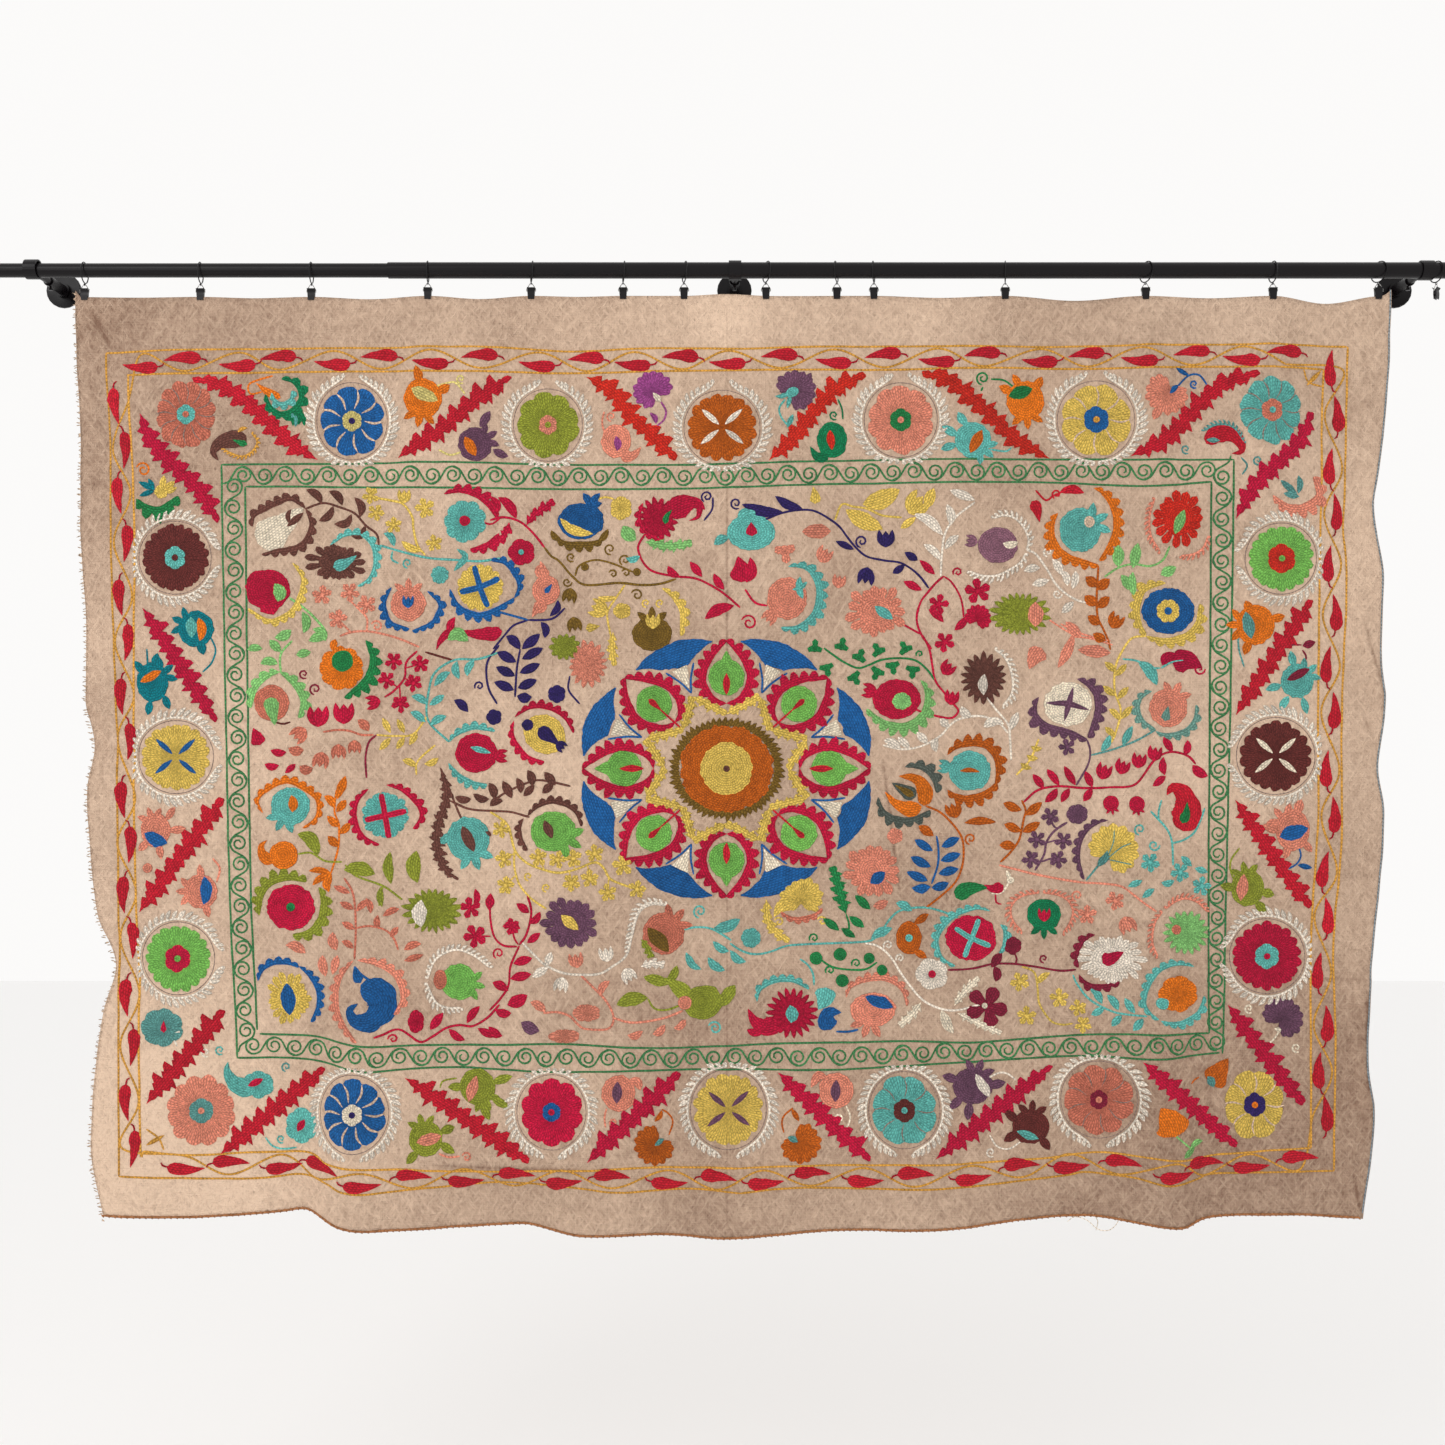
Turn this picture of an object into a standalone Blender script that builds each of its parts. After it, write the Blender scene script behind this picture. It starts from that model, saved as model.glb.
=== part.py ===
"""An embroidered cloth that hangs by ring clips from a telescoping rod on three wall brackets.

Metres, +Z up. The wall is the plane Y = 0 and the room lies towards -Y. The origin is the middle of the
centre bracket's flange, on the wall, level with the rod's axis. X runs along the rod.
"""

import math

import bmesh
import bpy
from mathutils import Matrix, Vector

MM = 0.001
# Two meshes that touch keep this much air between them.
TOUCH = 0.3 * MM

# Rod: a thin tube that slides in a thick one, with a plug in each open end.
ROD_FROM_WALL = 115 * MM
OUTER_TUBE_DIAMETER = 25.4 * MM
INNER_TUBE_DIAMETER = 22.2 * MM
OUTER_TUBE_WALL = OUTER_TUBE_DIAMETER / 2 - INNER_TUBE_DIAMETER / 2 - TOUCH
INNER_TUBE_WALL = 1.2 * MM
ROD_LEFT_END = -1.240
ROD_RIGHT_END = 1.210
TUBE_STEP = -0.555
TUBE_OVERLAP = 0.220
PLUG_DEPTH = 14 * MM
PLUG_LIP = 4 * MM
ROD_SIDES = 24

# Brackets: where each stands along the rod, and whether it holds the thin tube.
BRACKETS = (
    ("left", -1.1245, True),
    ("centre", 0.0, False),
    ("right", 1.1066, False),
)
FLANGE_DIAMETER = 58 * MM
FLANGE_THICKNESS = 4.5 * MM
FLANGE_EDGE = 1 * MM
COLLAR_DIAMETER = 24 * MM
COLLAR_END = 11 * MM
SLEEVE_DIAMETER = 17 * MM
SLEEVE_END = 60 * MM
ARM_DIAMETER = 12 * MM
ARM_SOCKET_FLOOR = 36 * MM
CRADLE_BORE = 26 * MM
CRADLE_OUTSIDE = 31 * MM
CRADLE_WIDTH = 20 * MM
BRACKET_SIDES = 20
SCREW_DIAMETER = 5 * MM
SCREW_HEAD_DIAMETER = 7 * MM
SCREW_LENGTH = 5 * MM

# Rings and clips. A photo pixel is 1.6 mm in the plane of the cloth.
PIXEL = 1.6 * MM
ORIGIN_ACROSS_PX = 735
ROD_AXIS_DOWN_PX = 270
RING_RADIUS = 16.5 * MM
RING_WIRE = 1.0 * MM
RING_PLAY = 0.5 * MM
RING_STEPS = 20
RING_SIDES = 5
EYELET_RADIUS = 2.0 * MM
EYELET_WIRE = 0.6 * MM
EYELET_STEPS = 8
BAIL_WIRE = 0.6 * MM
BAIL_TOP_WIDTH = 3.2 * MM
BAIL_WIDTH = 14.6 * MM
BAIL_KNEE = 30.0 * MM
PIVOT_BELOW_ROD = 33.1 * MM
CLIP_TOP_WIDTH = 13 * MM
CLIP_FOOT_WIDTH = 10 * MM
# One half of a clip seen from its end: (out from the cloth's middle, below the rod's axis), mm.
CLIP_OUTSIDE = ((4.2, 28.0), (1.7, 31.8), (2.4, 34.4), (2.7, 38.4), (2.3, 46.0))
CLIP_INSIDE = ((1.3, 46.0), (1.3, 39.0))
CLIP_NOTCH = ((0.95, 33.8), (0.95, 32.6), (0.4, 31.9), (3.3, 27.8))

# Hanging sets: across_px is the clip, turn_deg the ring's turn about the vertical, and lean_mm how far
# the ring's eyelet hangs to the right of the place where the ring rides on the rod.
SETS = (
    # across_px, turn_deg, lean_mm
    (84.0, 4, 0),
    (200.0, 5, 0),
    (311.0, 4, 0),
    (427.5, 5, 0),
    (531.0, 12, -2),
    (623.0, 8, -2),
    (684.0, 14, -2),
    (766.0, 20, -2),
    (837.0, -14, 2),
    (874.0, -12, 1),
    (1005.5, -10, 0),
    (1146.0, 23, -2),
    (1273.5, 4, 0),
    (1379.0, 23, -2),
    (1437.0, 14, 0),
)
LOOSE_SET = 15
LOOSE_CLIP_TURN = 42

# Cloth: one solid sheet. Its edges are read in photo pixels, with the rod drawn level at 270.
CLOTH_THICKNESS = 2 * MM
CLOTH_COLUMNS = 52
CLOTH_ROWS = 22
# Both top corners stand up beside their clips, so a column of the grid runs down each side of those.
CORNER_CLIP_SIDES_PX = (79, 89, 1374, 1384)
GRIPPED_STRIP = 9 * MM
FIRST_FOLD_DEPTH = 60 * MM
TOP_EDGE = (
    # across_px, down_px
    (75, 290.5), (79, 296.4), (89, 296.8), (140, 297.4), (200, 296.6), (255, 298.0), (311, 296.6),
    (370, 299.0), (427.5, 295.6), (480, 298.8), (531, 295.6), (578, 296.6), (623, 295.6), (684, 295.6),
    (725, 293.8), (766, 295.6), (805, 295.8), (837, 295.6), (874, 295.6), (940, 297.6), (1005.5, 295.6),
    (1075, 300.6), (1146, 295.6), (1210, 298.0), (1273.5, 295.6), (1326, 303.6), (1374, 296.2),
    (1384, 295.4), (1392, 289.4),
)
BOTTOM_EDGE = (
    (105.5, 1215), (195, 1218), (286, 1212), (305, 1209.5), (342, 1226), (374, 1231), (465, 1225.5),
    (521, 1223), (584, 1236), (656, 1233.5), (727, 1240), (828, 1231), (937, 1229), (1019, 1220),
    (1086, 1215), (1143, 1223), (1180, 1227), (1201, 1220), (1292, 1215.5), (1363, 1219),
)
LEFT_EDGE = (
    (75, 290.5), (74, 350), (78.5, 440), (78.5, 515), (86, 635), (86, 700), (95, 749), (88, 790),
    (92, 854), (99, 915), (116, 968), (105, 1010), (93, 1146), (105.5, 1215),
)
RIGHT_EDGE = (
    (1392, 289.4), (1392, 341), (1386, 430), (1376.5, 513), (1385, 575), (1381, 663), (1385.5, 708),
    (1378, 768), (1384, 815), (1373, 945), (1369, 985), (1366, 1060), (1374, 1120), (1363, 1219),
)
# Soft folds: each runs from one photo pixel to another and swells towards the room, or away if minus.
FOLDS = (
    # across_px, down_px, to_across_px, to_down_px, half_width_mm, swell_mm
    (84, 318, 125, 420, 22, 6),
    (427, 318, 408, 470, 24, 6),
    (1147, 318, 1165, 470, 24, 6),
    (1274, 318, 1262, 440, 22, 5),
    (1326, 325, 1322, 430, 40, -6),
    (345, 1215, 372, 1010, 46, 14),
    (1172, 1215, 1160, 1040, 42, 12),
    (300, 1205, 318, 1040, 30, -8),
    (1210, 1205, 1212, 1080, 30, -7),
    (430, 1160, 590, 1166, 26, 9),
    (1361, 613, 1382, 692, 18, 7),
    (1364, 985, 1366, 1101, 18, 8),
    (116, 940, 150, 1000, 24, -7),
    (96, 720, 130, 760, 22, -6),
    (1376, 500, 1345, 530, 22, -5),
    (727, 420, 727, 1180, 26, 3),
)
# Long swells over the whole sheet: how far they reach and the length of one wave across and down.
SWELLS = (
    # swell_mm, wave_across_mm, wave_down_mm, start_deg
    (4.0, 780, 2600, 40),
    (3.0, 430, -1900, 150),
    (2.2, 260, 1300, 250),
)
FOOT_FLARE = 5 * MM

COLOURS = {
    # name: red, green, blue, metallic, roughness
    "cotton": (0.58, 0.40, 0.27, 0.0, 0.95),
    "black_steel": (0.02, 0.018, 0.02, 0.6, 0.42),
    "black_wire": (0.012, 0.012, 0.014, 0.7, 0.35),
    "nickel_wire": (0.62, 0.60, 0.57, 1.0, 0.3),
}


def clear_scene():
    """Remove whatever objects the open file holds."""
    for thing in list(bpy.data.objects):
        bpy.data.objects.remove(thing)


def material(name):
    """One Principled material in the named colour."""
    made = bpy.data.materials.get(name)
    if made:
        return made
    red, green, blue, metallic, roughness = COLOURS[name]
    made = bpy.data.materials.new(name)
    made.use_nodes = True
    shader = made.node_tree.nodes["Principled BSDF"]
    shader.inputs["Base Color"].default_value = (red, green, blue, 1)
    shader.inputs["Metallic"].default_value = metallic
    shader.inputs["Roughness"].default_value = roughness
    return made


def add_object(name, points, faces, colour, smooth=True):
    """A new object from points and faces, with its faces turned outwards."""
    mesh = bpy.data.meshes.new(name)
    mesh.from_pydata([tuple(p) for p in points], [], faces)
    work = bmesh.new()
    work.from_mesh(mesh)
    bmesh.ops.recalc_face_normals(work, faces=work.faces)
    work.to_mesh(mesh)
    work.free()
    if smooth:
        mesh.shade_smooth()
        mesh.set_sharp_from_angle(angle=math.radians(40))
    made = bpy.data.objects.new(name, mesh)
    made.data.materials.append(material(colour))
    bpy.context.scene.collection.objects.link(made)
    return made


def add_turned(name, profile, sides, axis, colour):
    """Turn a closed profile of (radius, along) round the X or Y axis. A radius of 0 is a centre point."""
    points = []
    rings = []
    for radius, along in profile:
        count = sides if radius > 0 else 1
        ring = []
        for k in range(count):
            angle = 2 * math.pi * k / sides
            across = radius * math.cos(angle)
            up = radius * math.sin(angle)
            ring.append(len(points))
            points.append((along, across, up) if axis == "X" else (across, along, up))
        rings.append(ring)
    faces = []
    joins = list(zip(rings, rings[1:] + rings[:1]))
    for first, second in joins:
        if len(first) == 1 and len(second) == 1:
            continue
        for k in range(sides):
            corners = [
                first[k % len(first)],
                first[(k + 1) % len(first)],
                second[(k + 1) % len(second)],
                second[k % len(second)],
            ]
            faces.append(list(dict.fromkeys(corners)))
    return add_object(name, points, faces, colour)


def add_wire_loop(name, path, plane_normal, radius, sides, colour):
    """A closed wire through flat points, mitred at each corner."""
    normal = Vector(plane_normal).normalized()
    points = []
    for before, here, after in zip(path[-1:] + path[:-1], path, path[1:] + path[:1]):
        arriving = (here - before).normalized()
        leaving = (after - here).normalized()
        outward = (normal.cross(arriving) + normal.cross(leaving)).normalized()
        mitre = 1 / max(0.5, outward.dot(normal.cross(arriving)))
        for k in range(sides):
            angle = 2 * math.pi * k / sides
            in_plane = outward * (radius * mitre * math.cos(angle))
            out_of_plane = normal * (radius * math.sin(angle))
            points.append(here + in_plane + out_of_plane)
    faces = []
    count = len(path)
    for step in range(count):
        near = step * sides
        far = (step + 1) % count * sides
        for k in range(sides):
            beside = (k + 1) % sides
            faces.append([near + k, near + beside, far + beside, far + k])
    return add_object(name, points, faces, colour)


def apply_union(target, extra):
    """Join one more closed body to an object with an exact Boolean, and remove that body."""
    join = target.modifiers.new("join", "BOOLEAN")
    join.operation = "UNION"
    join.object = extra
    scene_state = bpy.context.evaluated_depsgraph_get()
    joined = bpy.data.meshes.new_from_object(target.evaluated_get(scene_state))
    target.modifiers.clear()
    target.data = joined
    bpy.data.objects.remove(extra)


def place(target, matrix):
    """Move an object by a matrix and keep the move in its own transform."""
    target.matrix_world = matrix @ target.matrix_world


def add_tube(name, diameter, wall, start, end):
    """One hollow tube of the rod along X, open at both ends."""
    outside = diameter / 2
    inside = outside - wall
    profile = [(outside, start), (outside, end), (inside, end), (inside, start)]
    tube = add_turned(name, profile, ROD_SIDES, "X", "black_steel")
    tube.location = (0, -ROD_FROM_WALL, 0)


def add_plug(name, diameter, wall, end, outwards):
    """The plug that closes an open end of the rod: a stem inside the tube and a lip over its end."""
    stem = diameter / 2 - wall - TOUCH
    lip = diameter / 2 + 1.2 * MM
    seat = end + outwards * TOUCH
    profile = [
        (0, end - outwards * PLUG_DEPTH),
        (stem, end - outwards * PLUG_DEPTH),
        (stem, seat),
        (lip, seat),
        (lip, seat + outwards * PLUG_LIP * 0.7),
        (lip * 0.86, seat + outwards * PLUG_LIP),
        (0, seat + outwards * PLUG_LIP),
    ]
    plug = add_turned(name, profile, ROD_SIDES, "X", "black_steel")
    plug.location = (0, -ROD_FROM_WALL, 0)


def add_rod():
    """Thick tube, thin tube and the two end plugs."""
    add_tube("rod_outer_tube", OUTER_TUBE_DIAMETER, OUTER_TUBE_WALL, TUBE_STEP, ROD_RIGHT_END)
    add_tube("rod_inner_tube", INNER_TUBE_DIAMETER, INNER_TUBE_WALL, ROD_LEFT_END, TUBE_STEP + TUBE_OVERLAP)
    add_plug("rod_left_plug", INNER_TUBE_DIAMETER, INNER_TUBE_WALL, ROD_LEFT_END, -1)
    add_plug("rod_right_plug", OUTER_TUBE_DIAMETER, OUTER_TUBE_WALL, ROD_RIGHT_END, 1)


def add_flange(name, across):
    """Wall flange, collar and sleeve in one turned piece, with a socket for the arm."""
    flange = FLANGE_DIAMETER / 2
    socket = ARM_DIAMETER / 2 + TOUCH
    profile = [
        (0, 0),
        (flange, 0),
        (flange, -FLANGE_THICKNESS + FLANGE_EDGE),
        (flange - FLANGE_EDGE, -FLANGE_THICKNESS),
        (COLLAR_DIAMETER / 2, -FLANGE_THICKNESS),
        (COLLAR_DIAMETER / 2, -COLLAR_END),
        (SLEEVE_DIAMETER / 2, -COLLAR_END),
        (SLEEVE_DIAMETER / 2, -SLEEVE_END),
        (socket, -SLEEVE_END),
        (socket, -ARM_SOCKET_FLOOR),
        (0, -ARM_SOCKET_FLOOR),
    ]
    made = add_turned(name, profile, BRACKET_SIDES, "Y", "black_steel")
    made.location = (across, 0, 0)


def add_cradle(name, across, lift):
    """The arm that slides in the sleeve and the band at its end that holds the rod."""
    inside = CRADLE_BORE / 2
    outside = CRADLE_OUTSIDE / 2
    half = CRADLE_WIDTH / 2
    band_profile = [(outside, -half), (outside, half), (inside, half), (inside, -half)]
    band = add_turned(name, band_profile, ROD_SIDES, "X", "black_steel")
    band.location = (across, -ROD_FROM_WALL, lift)
    arm_back = -ARM_SOCKET_FLOOR - TOUCH
    arm_front = -ROD_FROM_WALL + (inside + outside) / 2
    radius = ARM_DIAMETER / 2
    arm_profile = [(0, arm_back), (radius, arm_back), (radius, arm_front), (0, arm_front)]
    arm = add_turned(name + "_arm", arm_profile, BRACKET_SIDES, "Y", "black_steel")
    arm.location = (across, 0, 0)
    bpy.context.view_layer.update()
    apply_union(band, arm)


def add_screw(name, across):
    """The set screw under the sleeve that holds the arm."""
    seat = -SLEEVE_DIAMETER / 2 - TOUCH
    stem = SCREW_DIAMETER / 2
    head = SCREW_HEAD_DIAMETER / 2
    waist = seat - SCREW_LENGTH * 0.4
    foot = seat - SCREW_LENGTH
    profile = [(0, seat), (stem, seat), (stem, waist), (head, waist), (head, foot), (0, foot)]
    screw = add_turned(name, profile, 10, "X", "black_steel")
    under_sleeve = Matrix.Translation((across, -SLEEVE_END + 8 * MM, 0))
    place(screw, under_sleeve @ Matrix.Rotation(-math.pi / 2, 4, "Y"))


def add_brackets():
    """Three brackets along the rod."""
    lift_on_thin_tube = (OUTER_TUBE_DIAMETER - INNER_TUBE_DIAMETER) / 2
    for side, across, holds_thin_tube in BRACKETS:
        lift = lift_on_thin_tube if holds_thin_tube else 0.0
        add_flange(f"bracket_{side}_flange", across)
        add_cradle(f"bracket_{side}_cradle", across, lift)
        add_screw(f"bracket_{side}_screw", across)


def ring_centre(tube_diameter):
    """Height of a ring's centre when its wire rides on a tube."""
    return tube_diameter / 2 + RING_PLAY + RING_WIRE - RING_RADIUS


def add_ring(name, matrix):
    """A wire ring with its eyelet, its centre at the origin and the rod running along X."""
    path = []
    for k in range(RING_STEPS):
        angle = 2 * math.pi * k / RING_STEPS
        path.append(Vector((0, RING_RADIUS * math.sin(angle), RING_RADIUS * math.cos(angle))))
    ring = add_wire_loop(name, path, (1, 0, 0), RING_WIRE, RING_SIDES, "black_wire")
    loop = []
    for k in range(EYELET_STEPS):
        angle = 2 * math.pi * k / EYELET_STEPS
        drop = RING_RADIUS + EYELET_RADIUS
        loop.append(Vector((0, EYELET_RADIUS * math.sin(angle), EYELET_RADIUS * math.cos(angle) - drop)))
    eyelet = add_wire_loop(name + "_eyelet", loop, (1, 0, 0), EYELET_WIRE, 4, "black_wire")
    bpy.context.view_layer.update()
    apply_union(ring, eyelet)
    place(ring, matrix)
    return ring


def add_bail(name, top, foot):
    """The bent wire between a ring's eyelet and the pivot of a clip, in the plane of the cloth."""
    knee = foot.z + (PIVOT_BELOW_ROD - BAIL_KNEE)
    path = [
        Vector((top.x - BAIL_TOP_WIDTH / 2, foot.y, top.z)),
        Vector((top.x + BAIL_TOP_WIDTH / 2, foot.y, top.z)),
        Vector((foot.x + BAIL_WIDTH / 2, foot.y, knee)),
        Vector((foot.x + BAIL_WIDTH / 2, foot.y, foot.z)),
        Vector((foot.x - BAIL_WIDTH / 2, foot.y, foot.z)),
        Vector((foot.x - BAIL_WIDTH / 2, foot.y, knee)),
    ]
    return add_wire_loop(name, path, (0, 1, 0), BAIL_WIRE, 4, "nickel_wire")


def add_clip(name):
    """A spring clip seen from its end as one bent outline, drawn out across the cloth and tapered."""
    half = list(CLIP_OUTSIDE) + list(CLIP_INSIDE)
    notch = list(CLIP_NOTCH)
    right = [(out, down) for out, down in half]
    left = [(-out, down) for out, down in reversed(half)]
    outline = right + left
    outline += [(-out, down) for out, down in reversed(notch)]
    outline += notch
    top = min(down for _, down in outline)
    foot = max(down for _, down in outline)
    points = []
    for side in (-1, 1):
        for out, down in outline:
            share = (down - top) / (foot - top)
            width = CLIP_TOP_WIDTH + (CLIP_FOOT_WIDTH - CLIP_TOP_WIDTH) * share
            points.append((side * width / 2, out * MM, -down * MM))
    count = len(outline)
    faces = [list(range(count)), list(range(2 * count - 1, count - 1, -1))]
    for k in range(count):
        after = (k + 1) % count
        faces.append([k, after, count + after, count + k])
    return add_object(name, points, faces, "black_wire", smooth=False)


def add_hanging_set(number, across_px, turn_deg, lean_mm):
    """One ring, bail and clip. A ring on the thin tube hangs a little lower."""
    across = (across_px - ORIGIN_ACROSS_PX) * PIXEL
    on_thin_tube = across < TUBE_STEP
    diameter = INNER_TUBE_DIAMETER if on_thin_tube else OUTER_TUBE_DIAMETER
    centre = ring_centre(diameter)
    drop = ring_centre(OUTER_TUBE_DIAMETER) - centre
    lean = math.atan2(lean_mm * MM, 2 * RING_RADIUS + EYELET_RADIUS)
    rides_at = Matrix.Translation((across - lean_mm * MM, -ROD_FROM_WALL, centre + RING_RADIUS))
    hang = rides_at @ Matrix.Rotation(-lean, 4, "Y") @ Matrix.Rotation(math.radians(turn_deg), 4, "Z")
    hang = hang @ Matrix.Translation((0, 0, -RING_RADIUS))
    add_ring(f"ring_{number:02d}", hang)
    eyelet = hang @ Vector((0, 0, -RING_RADIUS - EYELET_RADIUS))
    rests_above = EYELET_RADIUS - EYELET_WIRE - BAIL_WIRE - TOUCH
    top = Vector((eyelet.x, -ROD_FROM_WALL, eyelet.z - rests_above))
    foot = Vector((across, -ROD_FROM_WALL, -PIVOT_BELOW_ROD - drop))
    bail = add_bail(f"bail_{number:02d}", top, foot)
    clip = add_clip(f"clip_{number:02d}")
    clip.location = (across, -ROD_FROM_WALL, -drop)
    if number == LOOSE_SET:
        about = Matrix.Translation((across, -ROD_FROM_WALL, 0))
        spin = about @ Matrix.Rotation(math.radians(LOOSE_CLIP_TURN), 4, "Z") @ about.inverted()
        bpy.context.view_layer.update()
        place(bail, spin)
        place(clip, spin)


def smooth_through(rows, key, value, at):
    """Read a smooth curve through a table's rows, with no overshoot between them."""
    keys = [row[key] for row in rows]
    values = [row[value] for row in rows]
    if at <= keys[0]:
        return values[0]
    if at >= keys[-1]:
        return values[-1]
    k = max(i for i in range(len(keys) - 1) if keys[i] <= at)
    slopes = [(values[i + 1] - values[i]) / (keys[i + 1] - keys[i]) for i in range(len(keys) - 1)]

    def lean_at(i):
        if i == 0:
            return slopes[0]
        if i == len(slopes):
            return slopes[-1]
        return (slopes[i - 1] + slopes[i]) / 2 if slopes[i - 1] * slopes[i] > 0 else 0.0

    span = keys[k + 1] - keys[k]
    t = (at - keys[k]) / span
    start = values[k] * (1 + 2 * t) * (1 - t) ** 2 + lean_at(k) * span * t * (1 - t) ** 2
    end = values[k + 1] * t * t * (3 - 2 * t) + lean_at(k + 1) * span * t * t * (t - 1)
    return start + end


def smooth_step(share):
    """A soft step from 0 to 1."""
    share = min(1.0, max(0.0, share))
    return share * share * (3 - 2 * share)


def sheet_pixel(u, v):
    """The photo pixel of a place on the sheet, u from left to right and v from top to bottom."""
    top_across = TOP_EDGE[0][0] + u * (TOP_EDGE[-1][0] - TOP_EDGE[0][0])
    foot_across = BOTTOM_EDGE[0][0] + u * (BOTTOM_EDGE[-1][0] - BOTTOM_EDGE[0][0])
    left_down = LEFT_EDGE[0][1] + v * (LEFT_EDGE[-1][1] - LEFT_EDGE[0][1])
    right_down = RIGHT_EDGE[0][1] + v * (RIGHT_EDGE[-1][1] - RIGHT_EDGE[0][1])
    top = (top_across, smooth_through(TOP_EDGE, 0, 1, top_across))
    foot = (foot_across, smooth_through(BOTTOM_EDGE, 0, 1, foot_across))
    left = (smooth_through(LEFT_EDGE, 1, 0, left_down), left_down)
    right = (smooth_through(RIGHT_EDGE, 1, 0, right_down), right_down)
    corners = (TOP_EDGE[0], TOP_EDGE[-1], BOTTOM_EDGE[0], BOTTOM_EDGE[-1])
    place_px = []
    for axis in (0, 1):
        between_ends = (1 - v) * top[axis] + v * foot[axis] + (1 - u) * left[axis] + u * right[axis]
        top_row = (1 - u) * corners[0][axis] + u * corners[1][axis]
        foot_row = (1 - u) * corners[2][axis] + u * corners[3][axis]
        place_px.append(between_ends - (1 - v) * top_row - v * foot_row)
    return place_px


def fold_swell(across_px, down_px):
    """How far the table's soft folds push the cloth towards the room here, in metres."""
    total = 0.0
    for start_x, start_y, end_x, end_y, half_width, swell in FOLDS:
        run = Vector((end_x - start_x, end_y - start_y))
        away = Vector((across_px - start_x, down_px - start_y))
        along = min(1.0, max(0.0, away.dot(run) / run.length_squared))
        gap = (away - run * along).length * PIXEL / (half_width * MM)
        total += swell * MM * math.exp(-gap * gap)
    return total


def cloth_depth(across_px, down_px):
    """Distance of the cloth's middle from the rod's plane, towards the room."""
    x = (across_px - ORIGIN_ACROSS_PX) * PIXEL
    down = (down_px - ROD_AXIS_DOWN_PX) * PIXEL
    total = fold_swell(across_px, down_px)
    for swell, wave_across, wave_down, start in SWELLS:
        phase = x / (wave_across * MM) + down / (wave_down * MM)
        total += swell * MM * math.sin(2 * math.pi * phase + math.radians(start))
    below_top = down - (smooth_through(TOP_EDGE, 0, 1, across_px) - ROD_AXIS_DOWN_PX) * PIXEL
    freed = smooth_step((below_top - GRIPPED_STRIP) / FIRST_FOLD_DEPTH)
    return freed * (total + FOOT_FLARE * smooth_step(down / 1.5))


def add_cloth():
    """The sheet: a grid of places on its middle surface, a face on each side and a rim all round."""
    height = (LEFT_EDGE[-1][1] - LEFT_EDGE[0][1]) * PIXEL
    strip = GRIPPED_STRIP / height
    shares = [0.0, strip]
    for row in range(1, CLOTH_ROWS):
        shares.append(strip + (1 - strip) * row / (CLOTH_ROWS - 1))
    width_px = TOP_EDGE[-1][0] - TOP_EDGE[0][0]
    columns = [column / CLOTH_COLUMNS for column in range(CLOTH_COLUMNS + 1)]
    columns += [(across_px - TOP_EDGE[0][0]) / width_px for across_px in CORNER_CLIP_SIDES_PX]
    columns.sort()
    points = []
    for side in (1, -1):
        for v in shares:
            for u in columns:
                across_px, down_px = sheet_pixel(u, v)
                x = (across_px - ORIGIN_ACROSS_PX) * PIXEL
                z = -(down_px - ROD_AXIS_DOWN_PX) * PIXEL
                y = -ROD_FROM_WALL - cloth_depth(across_px, down_px) - side * CLOTH_THICKNESS / 2
                points.append((x, y, z))
    wide = len(columns)
    tall = len(shares)
    back = wide * tall
    faces = []
    for row in range(tall - 1):
        for column in range(wide - 1):
            a = row * wide + column
            faces.append([a, a + wide, a + wide + 1, a + 1])
            faces.append([back + a, back + a + 1, back + a + wide + 1, back + a + wide])
    rim = list(range(wide))
    rim += [row * wide + wide - 1 for row in range(1, tall)]
    rim += [(tall - 1) * wide + column for column in range(wide - 2, -1, -1)]
    rim += [row * wide for row in range(tall - 2, 0, -1)]
    for here, after in zip(rim, rim[1:] + rim[:1]):
        faces.append([here, after, back + after, back + here])
    add_object("cloth", points, faces, "cotton")


def main():
    """Build the whole hanging."""
    clear_scene()
    add_rod()
    add_brackets()
    for number, (across_px, turn_deg, lean_mm) in enumerate(SETS, start=1):
        add_hanging_set(number, across_px, turn_deg, lean_mm)
    add_cloth()


main()
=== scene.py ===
# %% [markdown]
# A large embroidered cloth hangs by ring clips from a black curtain rod that slides longer and shorter.
# Three brackets hold the rod off a wall. The rod and the brackets come from the CAD model. The cloth is
# made finer here, and its needlework is laid on it as raised yarn: chain stitch lines, filled leaves,
# flowers and fruit. Every motif is placed where the photo shows it, in photo pixels, and is drawn by
# a few plain formulas.

import math

import bpy
import numpy as np
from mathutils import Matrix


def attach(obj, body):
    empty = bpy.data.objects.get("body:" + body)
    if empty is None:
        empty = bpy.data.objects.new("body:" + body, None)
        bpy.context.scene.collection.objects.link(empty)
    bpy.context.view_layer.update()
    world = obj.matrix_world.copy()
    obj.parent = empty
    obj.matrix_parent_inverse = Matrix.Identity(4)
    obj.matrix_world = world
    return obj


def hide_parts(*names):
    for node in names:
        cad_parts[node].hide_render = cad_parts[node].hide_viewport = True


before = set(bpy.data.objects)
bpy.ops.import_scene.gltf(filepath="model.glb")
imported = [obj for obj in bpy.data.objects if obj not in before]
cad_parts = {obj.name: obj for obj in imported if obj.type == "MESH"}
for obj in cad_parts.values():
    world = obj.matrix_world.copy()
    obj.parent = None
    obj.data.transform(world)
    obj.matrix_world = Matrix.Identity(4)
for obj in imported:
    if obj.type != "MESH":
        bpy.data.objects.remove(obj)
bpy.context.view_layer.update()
print("CAD nodes:", len(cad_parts))

# %% [markdown]
# The sheet hangs a little out of true, so its four edges are read from the photo. A photo pixel is
# 1.6 mm in the plane of the cloth. These are the CAD model's own tables, so that the fine sheet made
# here lies where the CAD sheet lies.

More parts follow.
